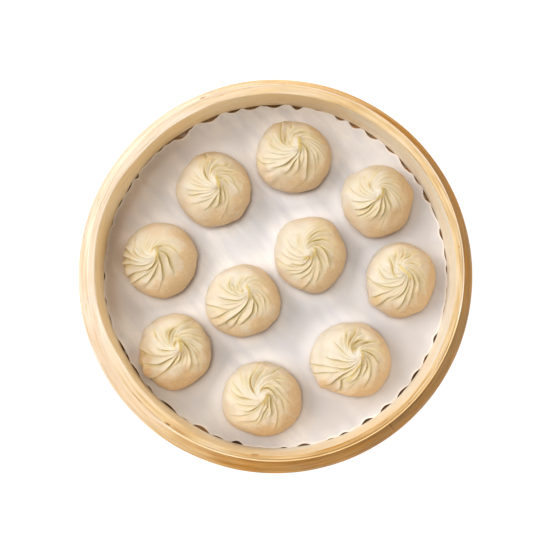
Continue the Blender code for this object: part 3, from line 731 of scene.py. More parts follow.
def bamboo_look(tree, shader, fibre, line, streaks, strength):
    """Bamboo by tone, streaked along its fibres, darkened by marks and by painted shade, and in fine
    relief.

    The tone is amber at -3, honey at -2, near white at -1, cream at 0, straw at 1, gold at 2, brown at 3.
    """
    tone = attribute(tree, "tone")
    fibre = spread(tree, fibre, 0.3, 0.7)
    colour = mix_colours(tree, fibre, (0.76, 0.61, 0.46), (0.845, 0.70, 0.55))
    for step, tint in ((-1.0, (0.95, 0.88, 0.74)), (-2.0, (0.95, 0.73, 0.42)), (-3.0, (0.88, 0.58, 0.245))):
        colour = mix_colours(tree, spread(tree, tone, step + 1.0, step, "LINEAR"), colour, tint)
    darker = (
        (1.0, (0.67, 0.47, 0.235), (0.79, 0.575, 0.31)),
        (2.0, (0.40, 0.175, 0.02), (0.53, 0.265, 0.05)),
        (3.0, (0.34, 0.20, 0.08), (0.43, 0.27, 0.115)),
    )
    for step, first, second in darker:
        tint = mix_colours(tree, fibre, first, second)
        colour = mix_colours(tree, spread(tree, tone, step - 1.0, step, "LINEAR"), colour, tint)
    streak = multiply(tree, spread(tree, line, *streaks), strength)
    colour = mix_colours(tree, streak, colour, (0.66, 0.50, 0.34), "MULTIPLY")
    # Dark marks, and painted shade under the liner's edge and along the shoulder's inner edge.
    stain_and_shade = attribute(tree, "stain_and_shade")
    colour = mix_colours(tree, spread(tree, stain_and_shade, 0.0, 0.5), colour, (0.50, 0.25, 0.085))
    colour = mix_colours(tree, spread(tree, stain_and_shade, 0.5, 1.0), colour, (0.10, 0.05, 0.018))
    tree.links.new(colour, shader.inputs["Base Color"])
    add_bump(tree, shader, line, 0.3, 0.15)


def round_bamboo_material(name, roughness, specular):
    """Bamboo bent round the tier: its fibres run along the hoop."""
    material, tree, shader = new_material(name, roughness, specular)
    parts = add_node(tree, "ShaderNodeSeparateXYZ", {"Vector": own_place(tree)})
    plane = {"X": parts.outputs["X"], "Y": parts.outputs["Y"]}
    flat = add_node(tree, "ShaderNodeCombineXYZ", plane).outputs[0]
    radius = add_node(tree, "ShaderNodeVectorMath", {0: flat}, operation="LENGTH").outputs["Value"]
    heading = add_node(tree, "ShaderNodeVectorMath", {0: flat}, operation="NORMALIZE").outputs[0]
    turn = add_node(tree, "ShaderNodeSeparateXYZ", {"Vector": heading})

    def along_hoop(turns, across):
        """Noise stretched along the hoop: about so many patches in a radian, so many across a metre."""
        vector = add_node(tree, "ShaderNodeCombineXYZ", {
            "X": multiply(tree, turn.outputs["X"], turns),
            "Y": multiply(tree, turn.outputs["Y"], turns),
            "Z": multiply(tree, radius, across),
        }).outputs[0]
        return noise(tree, vector, 1.0, 3.0, 0.6, multiply(tree, parts.outputs["Z"], across))

    bamboo_look(tree, shader, along_hoop(4.0, 420.0), along_hoop(7.0, 1300.0), (0.5, 0.75), 0.55)
    return material


def straight_bamboo_material(name, stretch):
    """Split bamboo for the floor, with its fibres along the axis that the stretch is smallest in."""
    material, tree, shader = new_material(name, 0.6, 0.35)
    grain = mapped(tree, own_place(tree), Scale=stretch)
    line = noise(tree, grain, 2600.0, 2.0)
    bamboo_look(tree, shader, noise(tree, grain, 900.0, 3.0), line, (0.58, 0.8), 0.5)
    return material


# ---------------------------------------------------------------- dumplings

def crown_height(radius):
    """Height over the foot, as a share of the whole, of the crown at a share of the radius."""
    dome = np.sqrt(np.maximum(1.0 - radius**2.3, 0.0))
    return WAIST + (1.0 - WAIST) * ((1.0 - POINTED) * dome + POINTED * (1.0 - radius) ** 2)


def plan_at(spec, degrees, radius, lean=None):
    """Place in plan, from a dumpling's middle, at a share of its radius: on its crown, if lean is None."""
    angle = np.radians(degrees)
    lean = 1.0 - radius**2 if lean is None else lean
    x = spec["knot"][0] * lean + 0.5 * spec["width"][0] * radius * np.cos(angle)
    y = spec["knot"][1] * lean + 0.5 * spec["width"][1] * radius * np.sin(angle)
    return np.stack([x, y], axis=-1)


def patch_on(spec, plan, angle, share, size):
    """1 in the middle of a patch on the crown, falling smoothly to 0 past its size."""
    gap = plan - plan_at(spec, angle, share)
    return smooth(1.3 - np.hypot(gap[..., 0], gap[..., 1]) / size)


def smooth_way(stops, steps=5):
    """Smooth way through a list of stops (Catmull-Rom)."""
    stops = np.array(stops, float)
    padded = np.vstack([2.0 * stops[0] - stops[1], stops, 2.0 * stops[-1] - stops[-2]])
    way = []
    for k in range(len(stops) - 1):
        before, start, end, after = padded[k:k + 4]
        for t in np.arange(steps) / steps:
            way.append(0.5 * (2.0 * start + (end - before) * t
                              + (2.0 * before - 5.0 * start + 4.0 * end - after) * t**2
                              + (3.0 * start - before - 3.0 * end + after) * t**3))
    way.append(stops[-1])
    return np.array(way)


def beside_path(plan, path):
    """For each point in plan: distance to a path, on which side (+1 is its right), and how far along.

    The last value is the way across the path towards its right, which is counterclockwise of a crease.
    """
    distance = np.full(len(plan), 1e9)
    side = np.ones(len(plan))
    along = np.zeros(len(plan))
    heading = np.zeros((len(plan), 2))
    count = len(path) - 1
    for k in range(count):
        step = path[k + 1] - path[k]
        offset = plan - path[k]
        share = np.clip(offset @ step / (step @ step), 0.0, 1.0)
        gap = offset - share[:, None] * step
        length = np.hypot(gap[:, 0], gap[:, 1])
        nearer = length < distance
        cross = step[0] * offset[:, 1] - step[1] * offset[:, 0]
        distance = np.where(nearer, length, distance)
        side = np.where(nearer, np.where(cross < 0.0, 1.0, -1.0), side)
        along = np.where(nearer, (k + share) / count, along)
        across = np.array([step[1], -step[0]]) / np.hypot(*step)
        heading = np.where(nearer[:, None], across, heading)
    return distance, side, along, heading


def swirl_turn(radius):
    """How far round the pleats have turned at a share of the radius."""
    return -SWIRL * np.log(radius + 0.05)


def whole_crease(strength, stops):
    """A crease's stops, run on out to where it fades and in to the knot, and its strength and darkness."""
    way = [list(stop) for stop in stops]
    full = [1.0] * (len(way) - 2)
    strengths = [0.0, OUTER_STOP[0], *full, INNER_STOP[0]]
    darkness = [0.0, OUTER_STOP[1], *full, INNER_STOP[1]]
    degrees, radius = way[0]
    faded = min(radius + FADE_OUT, 1.02)
    way.insert(0, [degrees + swirl_turn(faded) - swirl_turn(radius), faded])
    degrees, radius = way[-1]
    carried = INWARD_STRENGTH
    while radius > INNERMOST[0]:
        nearer = max(INWARD_STEP * radius, INNERMOST[1])
        degrees += swirl_turn(nearer) - swirl_turn(radius)
        radius = nearer
        way.append([degrees, radius])
        strengths.append(carried)
        darkness.append(max(carried - 0.5, 0.0))
        carried *= INWARD_FADE
    return way, strength * np.array(strengths), strength**1.7 * np.array(darkness)


def filler_creases(spec, rng):
    """Finer creases between the main ones, where those leave a wide gap, and short on calm stretches."""
    level = swirl_turn(FILLER_LEVEL)
    turns = []
    for _, _, stops in spec["creases"]:
        degrees, radius = min(stops, key=lambda stop: abs(stop[1] - FILLER_LEVEL))
        if abs(radius - FILLER_LEVEL) < 0.32:
            turns.append((degrees + level - swirl_turn(radius)) % 360.0)
    turns = sorted(turns)
    fillers = []
    for start, end in zip(turns, turns[1:] + [turns[0] + 360.0]):
        count = int((end - start) / FILLER_GAP)
        for k in range(count):
            middle = start + (end - start) * (k + 1 + rng.uniform(-0.15, 0.15)) / (count + 1)
            outer = rng.uniform(0.58, 0.84)
            if any((middle - low) % 360.0 < high - low for low, high in spec.get("calm", ())):
                outer = rng.uniform(0.36, 0.44)
            stops = [[middle + swirl_turn(r) - level, r] for r in (outer, 0.72 * outer, 0.45 * outer)]
            fillers.append((rng.uniform(0.20, 0.36), 0.9, stops))
    return fillers


def pleats(spec, plan, rng):
    """Pleats for points in plan: the creases' depth, the flaps' rise and sideways push, and three looks.

    The looks are the painted shade in a crease's core, the yellowish painted shade beside it, and where
    gathered dough is thick.
    """
    away = plan - plan_at(spec, 0.0, 0.0)
    from_knot = np.hypot(*away.T)
    outward = away / (from_knot + 1.0)[:, None]
    toward_back = np.maximum(outward @ BACK_LEFT, 0.0)
    toward_front = np.maximum(-outward[:, 1], 0.0)
    widths = np.clip(0.36 + 0.055 * from_knot, 0.0, 1.25)
    weights = smooth(0.25 + from_knot / 3.5) * np.clip(0.72 + 0.03 * from_knot, 0.0, 1.1)
    weights *= 1.05 - 0.22 * toward_front
    push = np.zeros((len(plan), 2))
    depth, rise, dark, glow, thick = np.zeros((5, len(plan)))
    for strength, opening, stops in [*spec["creases"], *filler_creases(spec, rng)]:
        way, strengths, darkness = whole_crease(strength, stops)
        polar = smooth_way(way)
        path = plan_at(spec, polar[:, 0], polar[:, 1])
        near = np.all((plan > path.min(0) - CREASE_REACH) & (plan < path.max(0) + CREASE_REACH), axis=1)
        distance, side, along, heading = beside_path(plan[near], path)
        stop = along * (len(way) - 1)
        room = widths[near]
        strong = np.interp(stop, np.arange(len(way)), strengths) * weights[near]
        # How dark the crease's painted shade is, less at the front.
        black = np.interp(stop, np.arange(len(way)), darkness) * (1.1 - 0.45 * toward_front[near])
        counter = side > 0.0
        gentle = np.clip(1.0 - distance / (GENTLE_WIDTH * opening * room), 0.0, 1.0) ** 2.0
        steep = np.clip(1.0 - distance / (STEEP_WIDTH * opening**0.5 * room), 0.0, 1.0) ** 1.4
        depth[near] += (strong * np.where(counter, gentle, steep)) ** 3
        reach = distance / (FLAP_WIDTH * room)
        rising = smooth(reach / FLAP_CREST)
        falling = smooth((1.0 - reach) / (1.0 - FLAP_CREST))
        flap = np.where(counter, 0.0, np.where(reach < FLAP_CREST, rising, falling)) * strong
        rise[near] += flap**3
        push[near] += heading * (FLAP_PUSH * flap * room)[:, None]
        # Painted shade in the crease's core: wider towards the back left, where the light falls in.
        core = bell(distance, CORE_WIDTH * (1.0 + 0.95 * toward_back[near]))
        dark[near] = np.maximum(dark[near], black * core)
        # Painted yellowish shade beside the crease, wider on its counterclockwise side.
        halo = bell(distance, np.where(counter, GLOW_WIDTH, 0.6 * GLOW_WIDTH))
        glow[near] = np.maximum(glow[near], np.sqrt(black) * halo)
        finger = np.minimum(1.4 * strong, 1.0) * bell(distance, FINGER_WIDTH)
        thick[near] = np.maximum(thick[near], finger)
    return CREASE_DEPTH * np.cbrt(depth), FLAP_HEIGHT * np.cbrt(rise), push, dark, glow, thick


def knot_relief(spec, plan):
    """Twisted knot in plan: rise of its nub and ridges, the ridges' painted-shade faces, and its slits."""
    knot = plan_at(spec, 0.0, 0.0)
    rise, facet, slit = np.zeros((3, len(plan)))
    for height, gentle, steep, stops in spec["ridges"]:
        distance, side, along, _ = beside_path(plan, smooth_way(stops) + knot)
        taper = smooth(along / 0.2) * smooth((1.0 - along) / 0.2)
        share = np.clip(distance / np.where(side > 0.0, steep, gentle), 0.0, 1.0)
        profile = np.where(side > 0.0, 1.0 - smooth(share), (1.0 - share) ** 1.4)
        rise = np.maximum(rise, height * profile * taper)
        # The steep face of a ridge gets a painted olive shade.
        shaded = smooth(5.0 * share) * smooth(1.8 * (1.0 - share)) * (side > 0.0)
        facet = np.maximum(facet, shaded * taper)
    for depth, half_width, stops in spec.get("slits", ()):
        distance = beside_path(plan, smooth_way(stops) + knot)[0]
        slit = np.maximum(slit, depth * smooth(1.0 - distance / half_width))
    return NUB_HEIGHT * bell(np.hypot(*(plan - knot).T), NUB_RADIUS) + rise, facet, slit


def dented(spec, degrees, radius, plan):
    """Plan of points once the dents have flattened the dumpling's outline."""
    share = np.zeros(plan.shape[:-1])
    for angle, half_length, depth in spec.get("dents", ()):
        share += depth / (0.5 * spec["width"][0]) * bump(degrees, angle, half_length) * radius**2
    return plan * (1.0 - share)[..., None]


def dumpling_rows():
    """Rows from the knot out over the crown, down the skirt and in under the foot: radius and height."""
    crown = 1.0 - (1.0 - np.linspace(0.0, 1.0, CROWN_ROWS + 1)[1:]) ** 1.25
    turned = np.linspace(0.0, 0.5 * math.pi, SKIRT_ROWS + 1)[1:]
    skirt = FOOT_RADIUS + (1.0 - FOOT_RADIUS) * np.cos(turned) ** 0.8
    foot = FOOT_RADIUS * np.linspace(1.0, 0.0, FOOT_ROWS + 2)[1:-1]
    height = np.concatenate([crown_height(crown), WAIST * (1.0 - np.sin(turned)), np.zeros(FOOT_ROWS)])
    return np.concatenate([crown, skirt, foot]), height


def thin_dough_and_shade(spec, plan, degrees, share):
    """How tan the dough is: where it is thin, low down, and as painted shade at the right and the front."""
    # side faces away from the light: the tan it adds is painted shade.
    side = facing(degrees, -30.0)
    thin = (0.36 + 0.78 * share) * (0.12 + 0.88 * side) - 0.06
    thin *= 0.78 + 0.42 * smooth((share - 0.58) / 0.16)
    thin += (0.04 + 0.14 * side) * smooth((share - 0.8) / 0.15)
    thin = np.clip(thin, 0.0, 1.0)
    for angle, place, size, strength in spec["tan"]:
        thin = np.maximum(thin, strength * patch_on(spec, plan, angle, place, size))
    return thin


def outline(widest):
    """Angles of the widest row, and its distance from the middle, smoothed over the creases."""
    heading = np.degrees(np.arctan2(widest[:, 1], widest[:, 0])) % 360.0
    order = np.argsort(heading)
    reach = np.hypot(widest[:, 0], widest[:, 1])[order]
    return heading[order], np.median([np.roll(reach, k) for k in range(-6, 7)], axis=0)


def build_dumpling(number, spec, material):
    """Make a dumpling from its row of the table; returns its outline."""
    seed = 100 * number
    radius, height = dumpling_rows()
    swirl = swirl_turn(radius) - swirl_turn(1.0)
    swirl[CROWN_ROWS:] = 0.0
    degrees = np.linspace(0.0, 360.0, DUMPLING_COLUMNS, endpoint=False) + swirl[:, None]
    radii = np.repeat(radius[:, None], DUMPLING_COLUMNS, axis=1)
    lean = 1.0 - radii**2
    lean[CROWN_ROWS:] = 0.0
    plan = dented(spec, degrees, radii, plan_at(spec, degrees, radii, lean))
    z = np.repeat((spec["height"] * height)[:, None], DUMPLING_COLUMNS, axis=1)
    points = np.concatenate([plan, z[..., None]], axis=-1)
    outward = -grid_normals(points)
    outward[CROWN_ROWS + SKIRT_ROWS - 1:] = (0.0, 0.0, -1.0)

    def whole(values):
        """Values of the crown's points, and zeros for the rows below it."""
        below = np.zeros((DUMPLING_ROWS - CROWN_ROWS) * DUMPLING_COLUMNS)
        return np.concatenate([values, below]).reshape(z.shape)

    crown = plan[:CROWN_ROWS].reshape(-1, 2)
    depth, rise, push, dark, glow, thick = pleats(spec, crown, np.random.default_rng(seed))
    knot_rise, facet, slit = knot_relief(spec, crown)
    creased = whole(depth + slit)
    uneven = np.zeros(z.shape)
    for step, (size, length, count) in enumerate(SAGS, start=1):
        uneven += size * Waves(seed + step, length, count).at(points)
    lump, lump_tan = np.zeros((2, *z.shape))
    for angle, share, size, swell, browned in spec.get("lumps", ()):
        patch = patch_on(spec, plan, angle, share, size)
        lump = np.maximum(lump, swell * patch)
        lump_tan = np.maximum(lump_tan, browned * patch)
    relief = (uneven + lump) * smooth(points[..., 2] / 3.0) + whole(rise) - creased
    points = points + outward * relief[..., None]
    points[:CROWN_ROWS, :, :2] += push.reshape(CROWN_ROWS, -1, 2)
    points[..., 2] = np.maximum(points[..., 2] + whole(knot_rise), 0.0)
    points += (*spec["at"], DUMPLING_BASE)

    share = radii + 0.10 * Waves(seed + 4, 16.0).at(points) + 0.05 * Waves(seed + 5, 5.0).at(points)
    share[CROWN_ROWS:] = 1.0
    thin = thin_dough_and_shade(spec, plan, degrees, share)
    thin *= 1.0 - 0.6 * whole(thick) * smooth((radii - 0.2) / 0.3)
    # Painted shade in the creases, by their depth, with the painted shade of their cores.
    fold = 0.25 * np.clip(creased / CREASE_DEPTH, 0.0, 1.0) ** 1.6
    # Looks: tan where the dough is thin, with painted shade on its side away from the light; painted olive
    # shade on the knot's steep faces and beside creases; painted shade in the creases.
    looks = {
        "thin": np.append(np.maximum(thin, lump_tan), (0.0, 1.0)),
        "fold": np.append(np.maximum(fold, whole(dark)), (0.0, 0.0)),
        "olive": np.append(whole(np.maximum(facet, 0.85 * glow)), (0.0, 0.0)),
    }
    node = f"dumpling_{number:02d}"
    add_piece(f"{node}_dough", node, *closed_rings(points), material, "steamed_dough", looks)
    return outline(points[CROWN_ROWS + 1, :, :2] - spec["at"])


# ---------------------------------------------------------------- liner

def notch_depths(degrees):
    """How far the liner's edge is cut in at each angle, by wide shallow notches."""
    cut = np.zeros(len(degrees))
    for angle, width, depth in NOTCHES:
        away = angle_off(degrees, angle) / (0.62 * width)
        cut = np.maximum(cut, depth * np.clip(1.0 - away**1.7, 0.0, 1.0) ** 0.8)
    return cut


def liner_curl(degrees):
    """Height that the liner's edge climbs up the wall at each angle, most at the back and the left."""
    waves = 0.5 * np.sin(np.radians(5.0 * degrees + 40.0))
    waves += 0.4 * np.sin(np.radians(13.0 * degrees + 200.0))
    return 1.7 + 2.1 * plateau(degrees, (50.0, 100.0, 215.0, 255.0)) + 0.5 * waves


def liner_looks(degrees, x, y, radius, to_edge, outlines):
    """Painted light and shade on the paper: a highlight on its edge, shadow near the wall at the back left
    and on the lower right of the dumplings, and shade that greys it in the open.
    """
    back = plateau(degrees, (100.0, 150.0, 185.0, 225.0))
    # Painted highlight along the paper's cut edge, less at the back left.
    painted_edge_highlight = smooth(1.0 - to_edge / 1.8) * (1.0 - 0.6 * back)
    # Painted shadow of the wall near the paper's edge at the back left.
    painted_shadow = (0.25 * bell(to_edge - 4.0, 4.0) + 0.75 * smooth(1.0 - to_edge / 26.0)) * back
    painted_contact_shadow = np.zeros_like(painted_shadow)
    nearest = np.full_like(painted_shadow, 30.0)
    for spec, (angles, reach) in zip(DUMPLINGS, outlines):
        away = (x - spec["at"][0], y - spec["at"][1])
        heading = np.degrees(np.arctan2(away[1], away[0])) % 360.0
        gap = np.maximum(np.hypot(*away) - np.interp(heading, angles, reach, period=360.0), 0.0)
        side = facing(heading, -40.0) ** 2
        nearest = np.minimum(nearest, gap)
        # Painted shadow round each dumpling, most on its lower right.
        painted_shadow = np.maximum(painted_shadow, (0.05 + 0.6 * side) * np.exp(-gap / 2.5))
        # Painted contact shadow along each dumpling's lower-right outline.
        painted_contact_shadow = np.maximum(painted_contact_shadow, 0.7 * side * bell(gap, 1.3))
    outer = smooth(radius / 110.0)
    # Painted shade that greys the open paper away from dumplings and edge, and more at the front right.
    painted_open_shade = 0.66 * smooth(nearest / 14.0) * smooth(to_edge / 16.0)
    painted_open_shade += (0.82 * facing(degrees, 318.0) ** 2 + 0.35 * bump(degrees, 32.0, 42.0)) * outer
    painted_open_shade = np.clip(painted_open_shade, 0.0, 1.0)
    # Painted light: patches where the painted shade and shadow are lifted.
    for place, size in PAINTED_LIGHT_PATCHES:
        painted_light = 0.7 * bell(np.hypot(x - place[0], y - place[1]), size)
        painted_open_shade *= 1.0 - painted_light
        painted_shadow *= 1.0 - painted_light
    # A painted shadow patch in the wall's shade at the left.
    place, size = PAINTED_SHADOW_PATCH
    painted_shadow = np.maximum(painted_shadow, 0.95 * bell(np.hypot(x - place[0], y - place[1]), size))
    return {"painted_edge_highlight": painted_edge_highlight, "painted_shadow": painted_shadow, "painted_contact_shadow": painted_contact_shadow, "painted_open_shade": painted_open_shade}


def build_liner(material, outlines):
    """The liner as one closed sheet: rings from its middle out over the top, and back in underneath."""
    degrees = np.linspace(0.0, 360.0, LINER_COLUMNS, endpoint=False)
    wall = wall_face(degrees, 0.05)
    edge = wall + 0.1 - notch_depths(degrees)
    inner = wall - CURL_WIDTH
    flat_shares = np.linspace(0.0, 1.0, FLAT_RINGS + 1)[1:, None]
    curl_shares = np.linspace(0.0, 1.0, CURL_RINGS + 1)[1:, None] ** 0.8
    radius = np.vstack([inner * flat_shares, inner + (edge - inner) * curl_shares])
    x = radius * np.cos(np.radians(degrees))
    y = radius * np.sin(np.radians(degrees))
    flat = np.stack([x, y, np.zeros_like(x)], axis=-1)
    slant = math.radians(GRAIN_SLANT)
    along_grain = math.cos(slant) * x + math.sin(slant) * y
    across_grain = math.cos(slant) * y - math.sin(slant) * x
    grain = np.stack([along_grain, across_grain, np.zeros_like(x)], axis=-1)
    climb = np.clip((radius - inner) / CURL_WIDTH, 0.0, 1.0)
    ripple = 1.0 + 0.22 * Waves(73, 13.0).at(flat)
    z = LINER_LEVEL + liner_curl(degrees) * ripple * climb**1.5
    z += 0.16 * Waves(71, 45.0).at(flat) + 0.16 * Waves(72, 11.0, 20, (4.0, 1.0, 1.0)).at(grain)
    upper = np.stack([x, y, z], axis=-1)
    lower = upper - (0.0, 0.0, LINER_THICKNESS)
    lower[..., 2] += (LINER_LEVEL - LINER_CLEARANCE - lower[..., 2]) * (1.0 - smooth(climb / 0.25))
    under = [*range(UNDER_STEP - 1, FLAT_RINGS, UNDER_STEP), *range(FLAT_RINGS, len(upper))][::-1]
    looks = {
        key: np.append(np.vstack([field, field[under]]), (0.0, 0.0))
        for key, field in liner_looks(degrees, x, y, radius, edge - radius, outlines).items()
    }
    points, faces = closed_rings(np.concatenate([upper, lower[under]]))
    add_piece("liner_sheet", "paper_liner", points, faces, material, "liner_paper", looks)


# ---------------------------------------------------------------- hoops

def lip_tone(degrees, height):
    """Tone of the lip's top: cream at the back left, straw at the right, golden at the front."""
    straw = 0.95 * (1.0 - plateau(degrees, (68.0, 132.0, 182.0, 242.0)))
    golden = 0.68 * bump(degrees, 294.0, 32.0) + 0.38 * bump(degrees, 266.0, 18.0)
    return straw + golden + 0.35 * bump(degrees, 240.0, 9.0)


def strip_tone(degrees, height):
    """Tone of the strip's top edge: straw at the right, honey to amber at the front, cream elsewhere."""
    straw = 0.4 * (1.0 - plateau(degrees, (68.0, 132.0, 182.0, 222.0)))
    amber = 1.1 * plateau(degrees, (246.0, 288.0, 330.0, 350.0))
    return straw - amber - 2.4 * plateau(degrees, (222.0, 246.0, 342.0, 357.0))


def shoulder_tone_and_shade(degrees, height):
    """Tone of the shoulder: cream at the back left, golden at the left front and brown at the front right,
    which is partly painted shadow of the lip.
    """
    pale = plateau(degrees, (8.0, 138.0, 198.0, 290.0))
    return 2.65 * (1.0 - pale) - 0.2 * bump(degrees, 286.0, 34.0)


def wall_tone_lit_and_shaded(degrees, height):
    """Tone of the wall's inner face, painted light and shade: near white where lit at the front right,
    amber high in front, honey in shade at the back and the left.
    """
    upper = smooth(((height - WALL_BOTTOM) / (LIP_TOP - WALL_BOTTOM) - 0.1) / 0.6)
    front = upper * plateau(degrees, (225.0, 242.0, 300.0, 338.0))
    return -1.18 - 0.82 * plateau(degrees, (34.0, 86.0, 205.0, 262.0)) - 0.75 * front


def board_section(inner, outer, bottom, top, corner, wall_steps, top_steps):
    """Section of a board, as arrays of radius, height and side, with rounded corners.

    It goes up the outside, which is side 0, in over the top, 1, down the inside, 2, and out below, 3. The
    inner and the outer face give radii by angle at a level from 0 at the bottom to 1 at the top.
    """
    arc = np.radians(np.linspace(0.0, 90.0, 4))
    section = []

    def put(side, radius, height):
        section.append((radius, np.zeros_like(radius) + height, side))

    def put_face(side, face, levels):
        for level in levels:
            height = bottom + corner + (top - bottom - 2.0 * corner) * level
            put(side, face((height - bottom) / (top - bottom)), height)

    def put_corner(side, radius, inward, height, upward, turns):
        for turn in turns:
            shift = corner * (1.0 - math.cos(turn))
            put(side, radius + inward * shift, height + upward * corner * (1.0 - math.sin(turn)))

    levels = np.linspace(0.0, 1.0, wall_steps)
    put_face(0, outer, levels)
    put_corner(1, outer(1.0), -1.0, top, -1.0, arc[1:])
    for share in np.linspace(0.0, 1.0, top_steps)[1:-1]:
        put(1, outer(1.0) - corner + (inner(1.0) + 2.0 * corner - outer(1.0)) * share, top)
    put_corner(1, inner(1.0), 1.0, top, -1.0, arc[:0:-1])
    put_face(2, inner, levels[::-1])
    put_corner(3, inner(0.0), 1.0, bottom, 1.0, arc[1:])
    put_corner(3, outer(0.0), -1.0, bottom, 1.0, arc[:0:-1])
    radii, heights, sides = zip(*section)
    return np.array(radii), np.array(heights), np.array(sides)


def fibre_relief(seed, degrees, radius, height, size):
    """Long shallow relief along a hoop: close together across the fibres, drawn out along them."""
    angle = np.radians(degrees)
    points = [60.0 * np.cos(angle), 60.0 * np.sin(angle), 7.0 * (radius + height)]
    return size * Waves(seed, 16.0, 20).at(np.stack(points, axis=-1))


def hoop_piece(name, node, degrees, section, material, slot, tones, stain_and_shade, relief, seed, closed=True):
    """A hoop from its section; tones give the tone by angle of its outside, top, inside and underside.

    One that isn't closed has two ends, and its relief is only on its top.
    """
    radius, height, side = section
    turned = degrees + np.zeros_like(radius)
    points = np.stack([
        radius * np.cos(np.radians(turned)), radius * np.sin(np.radians(turned)), height,
    ], axis=-1)
    bumps = fibre_relief(seed, turned, radius, height, relief)
    if closed:
        points = points + grid_normals(points, wrap_rows=True) * bumps[..., None]
    else:
        points[..., 2] += bumps * (side == 1)[:, None]
    reach = np.hypot(points[..., 0], points[..., 1])
    points[..., :2] *= np.minimum(1.0, TIER_RADIUS / reach)[..., None]
    points[..., 2] = np.minimum(points[..., 2], LIP_TOP)
    rows, count = radius.shape
    faces = list(grid_faces(rows, count, wrap_columns=closed, wrap_rows=True))
    if not closed:
        first = np.arange(rows) * count
        faces += [first, first[::-1] + count - 1]
    tone = np.choose(side[:, None], [give_tone(turned, height) for give_tone in tones])
    tone += 0.10 * Waves(seed + 5, 60.0).at(points) + fibre_relief(seed + 6, turned, radius, height, 0.17)
    looks = {"tone": tone, "stain_and_shade": stain_and_shade(turned, radius, height)}
    add_piece(name, node, points, faces, material, slot, looks, sharp=50.0)


def no_stain(degrees, radius, height):
    return np.zeros_like(radius)


def marks(degrees, radius, spots):
    """How dark the specks and short cracks are that stand in a list of marks."""
    stain_and_shade = np.zeros_like(radius)
    for angle, half_length, place, half_width, strength in spots:
        lengthwise = smooth(1.5 - angle_off(degrees, angle) / half_length)
        crosswise = smooth(1.5 - np.abs(radius - place) / half_width)
        stain_and_shade = np.maximum(stain_and_shade, strength * lengthwise * crosswise)
    return stain_and_shade


def painted_end_shade(degrees):
    """Painted shade on the wood under the liner's edge, seen through its notches, at each angle."""
    stain_and_shade = 0.42 + 0.4 * plateau(degrees, (200.0, 205.0, 232.0, 238.0))
    stain_and_shade += 0.45 * plateau(degrees, (284.0, 300.0, 342.0, 352.0))
    for centre, darker in ((28.0, 0.3), (257.0, 0.55), (279.0, -0.25)):
        stain_and_shade += darker * bump(degrees, centre, 6.0)
    return stain_and_shade


def lip_marks(degrees, radius, height):
    """Dark marks on the lip's top, and painted shade low on the wall, under the liner's edge."""
    top = marks(degrees, radius, LIP_MARKS) * (height > LIP_TOP - 1.0)
    return np.maximum(top, painted_end_shade(degrees) * smooth((WALL_BOTTOM + 2.0 - height) / 1.5))


def shoulder_marks(degrees, radius, height):
    """Dark marks on the shoulder, and a painted contact shadow along its inner edge at the front."""
    inner = shifted_circle(degrees, LIP_RADIUS, LIP_SHIFT)
    # Painted contact shadow along the shoulder's inner edge, where it meets the lip.
    line = 0.95 * plateau(degrees, (228.0, 244.0, 330.0, 375.0)) * smooth((inner + 1.5 - radius) / 0.7)
    return np.maximum(marks(degrees, radius, SHOULDER_MARKS), line) * (height > SHOULDER_TOP - 1.0)


def joint_width(degrees):
    """Width of the joint between the lip's boards: open at the front, pressed shut at the back."""
    return JOINT_GAP * plateau(degrees, JOINT_SPAN) - PRESSED * (1.0 - plateau(degrees, JOINT_SPAN))


def round_face(degrees, radius, shift=(0.0, 0.0), grown=0.0):
    """An upright face of a board, the same at every level."""
    face = shifted_circle(degrees, radius, shift) + grown
    return lambda level: face


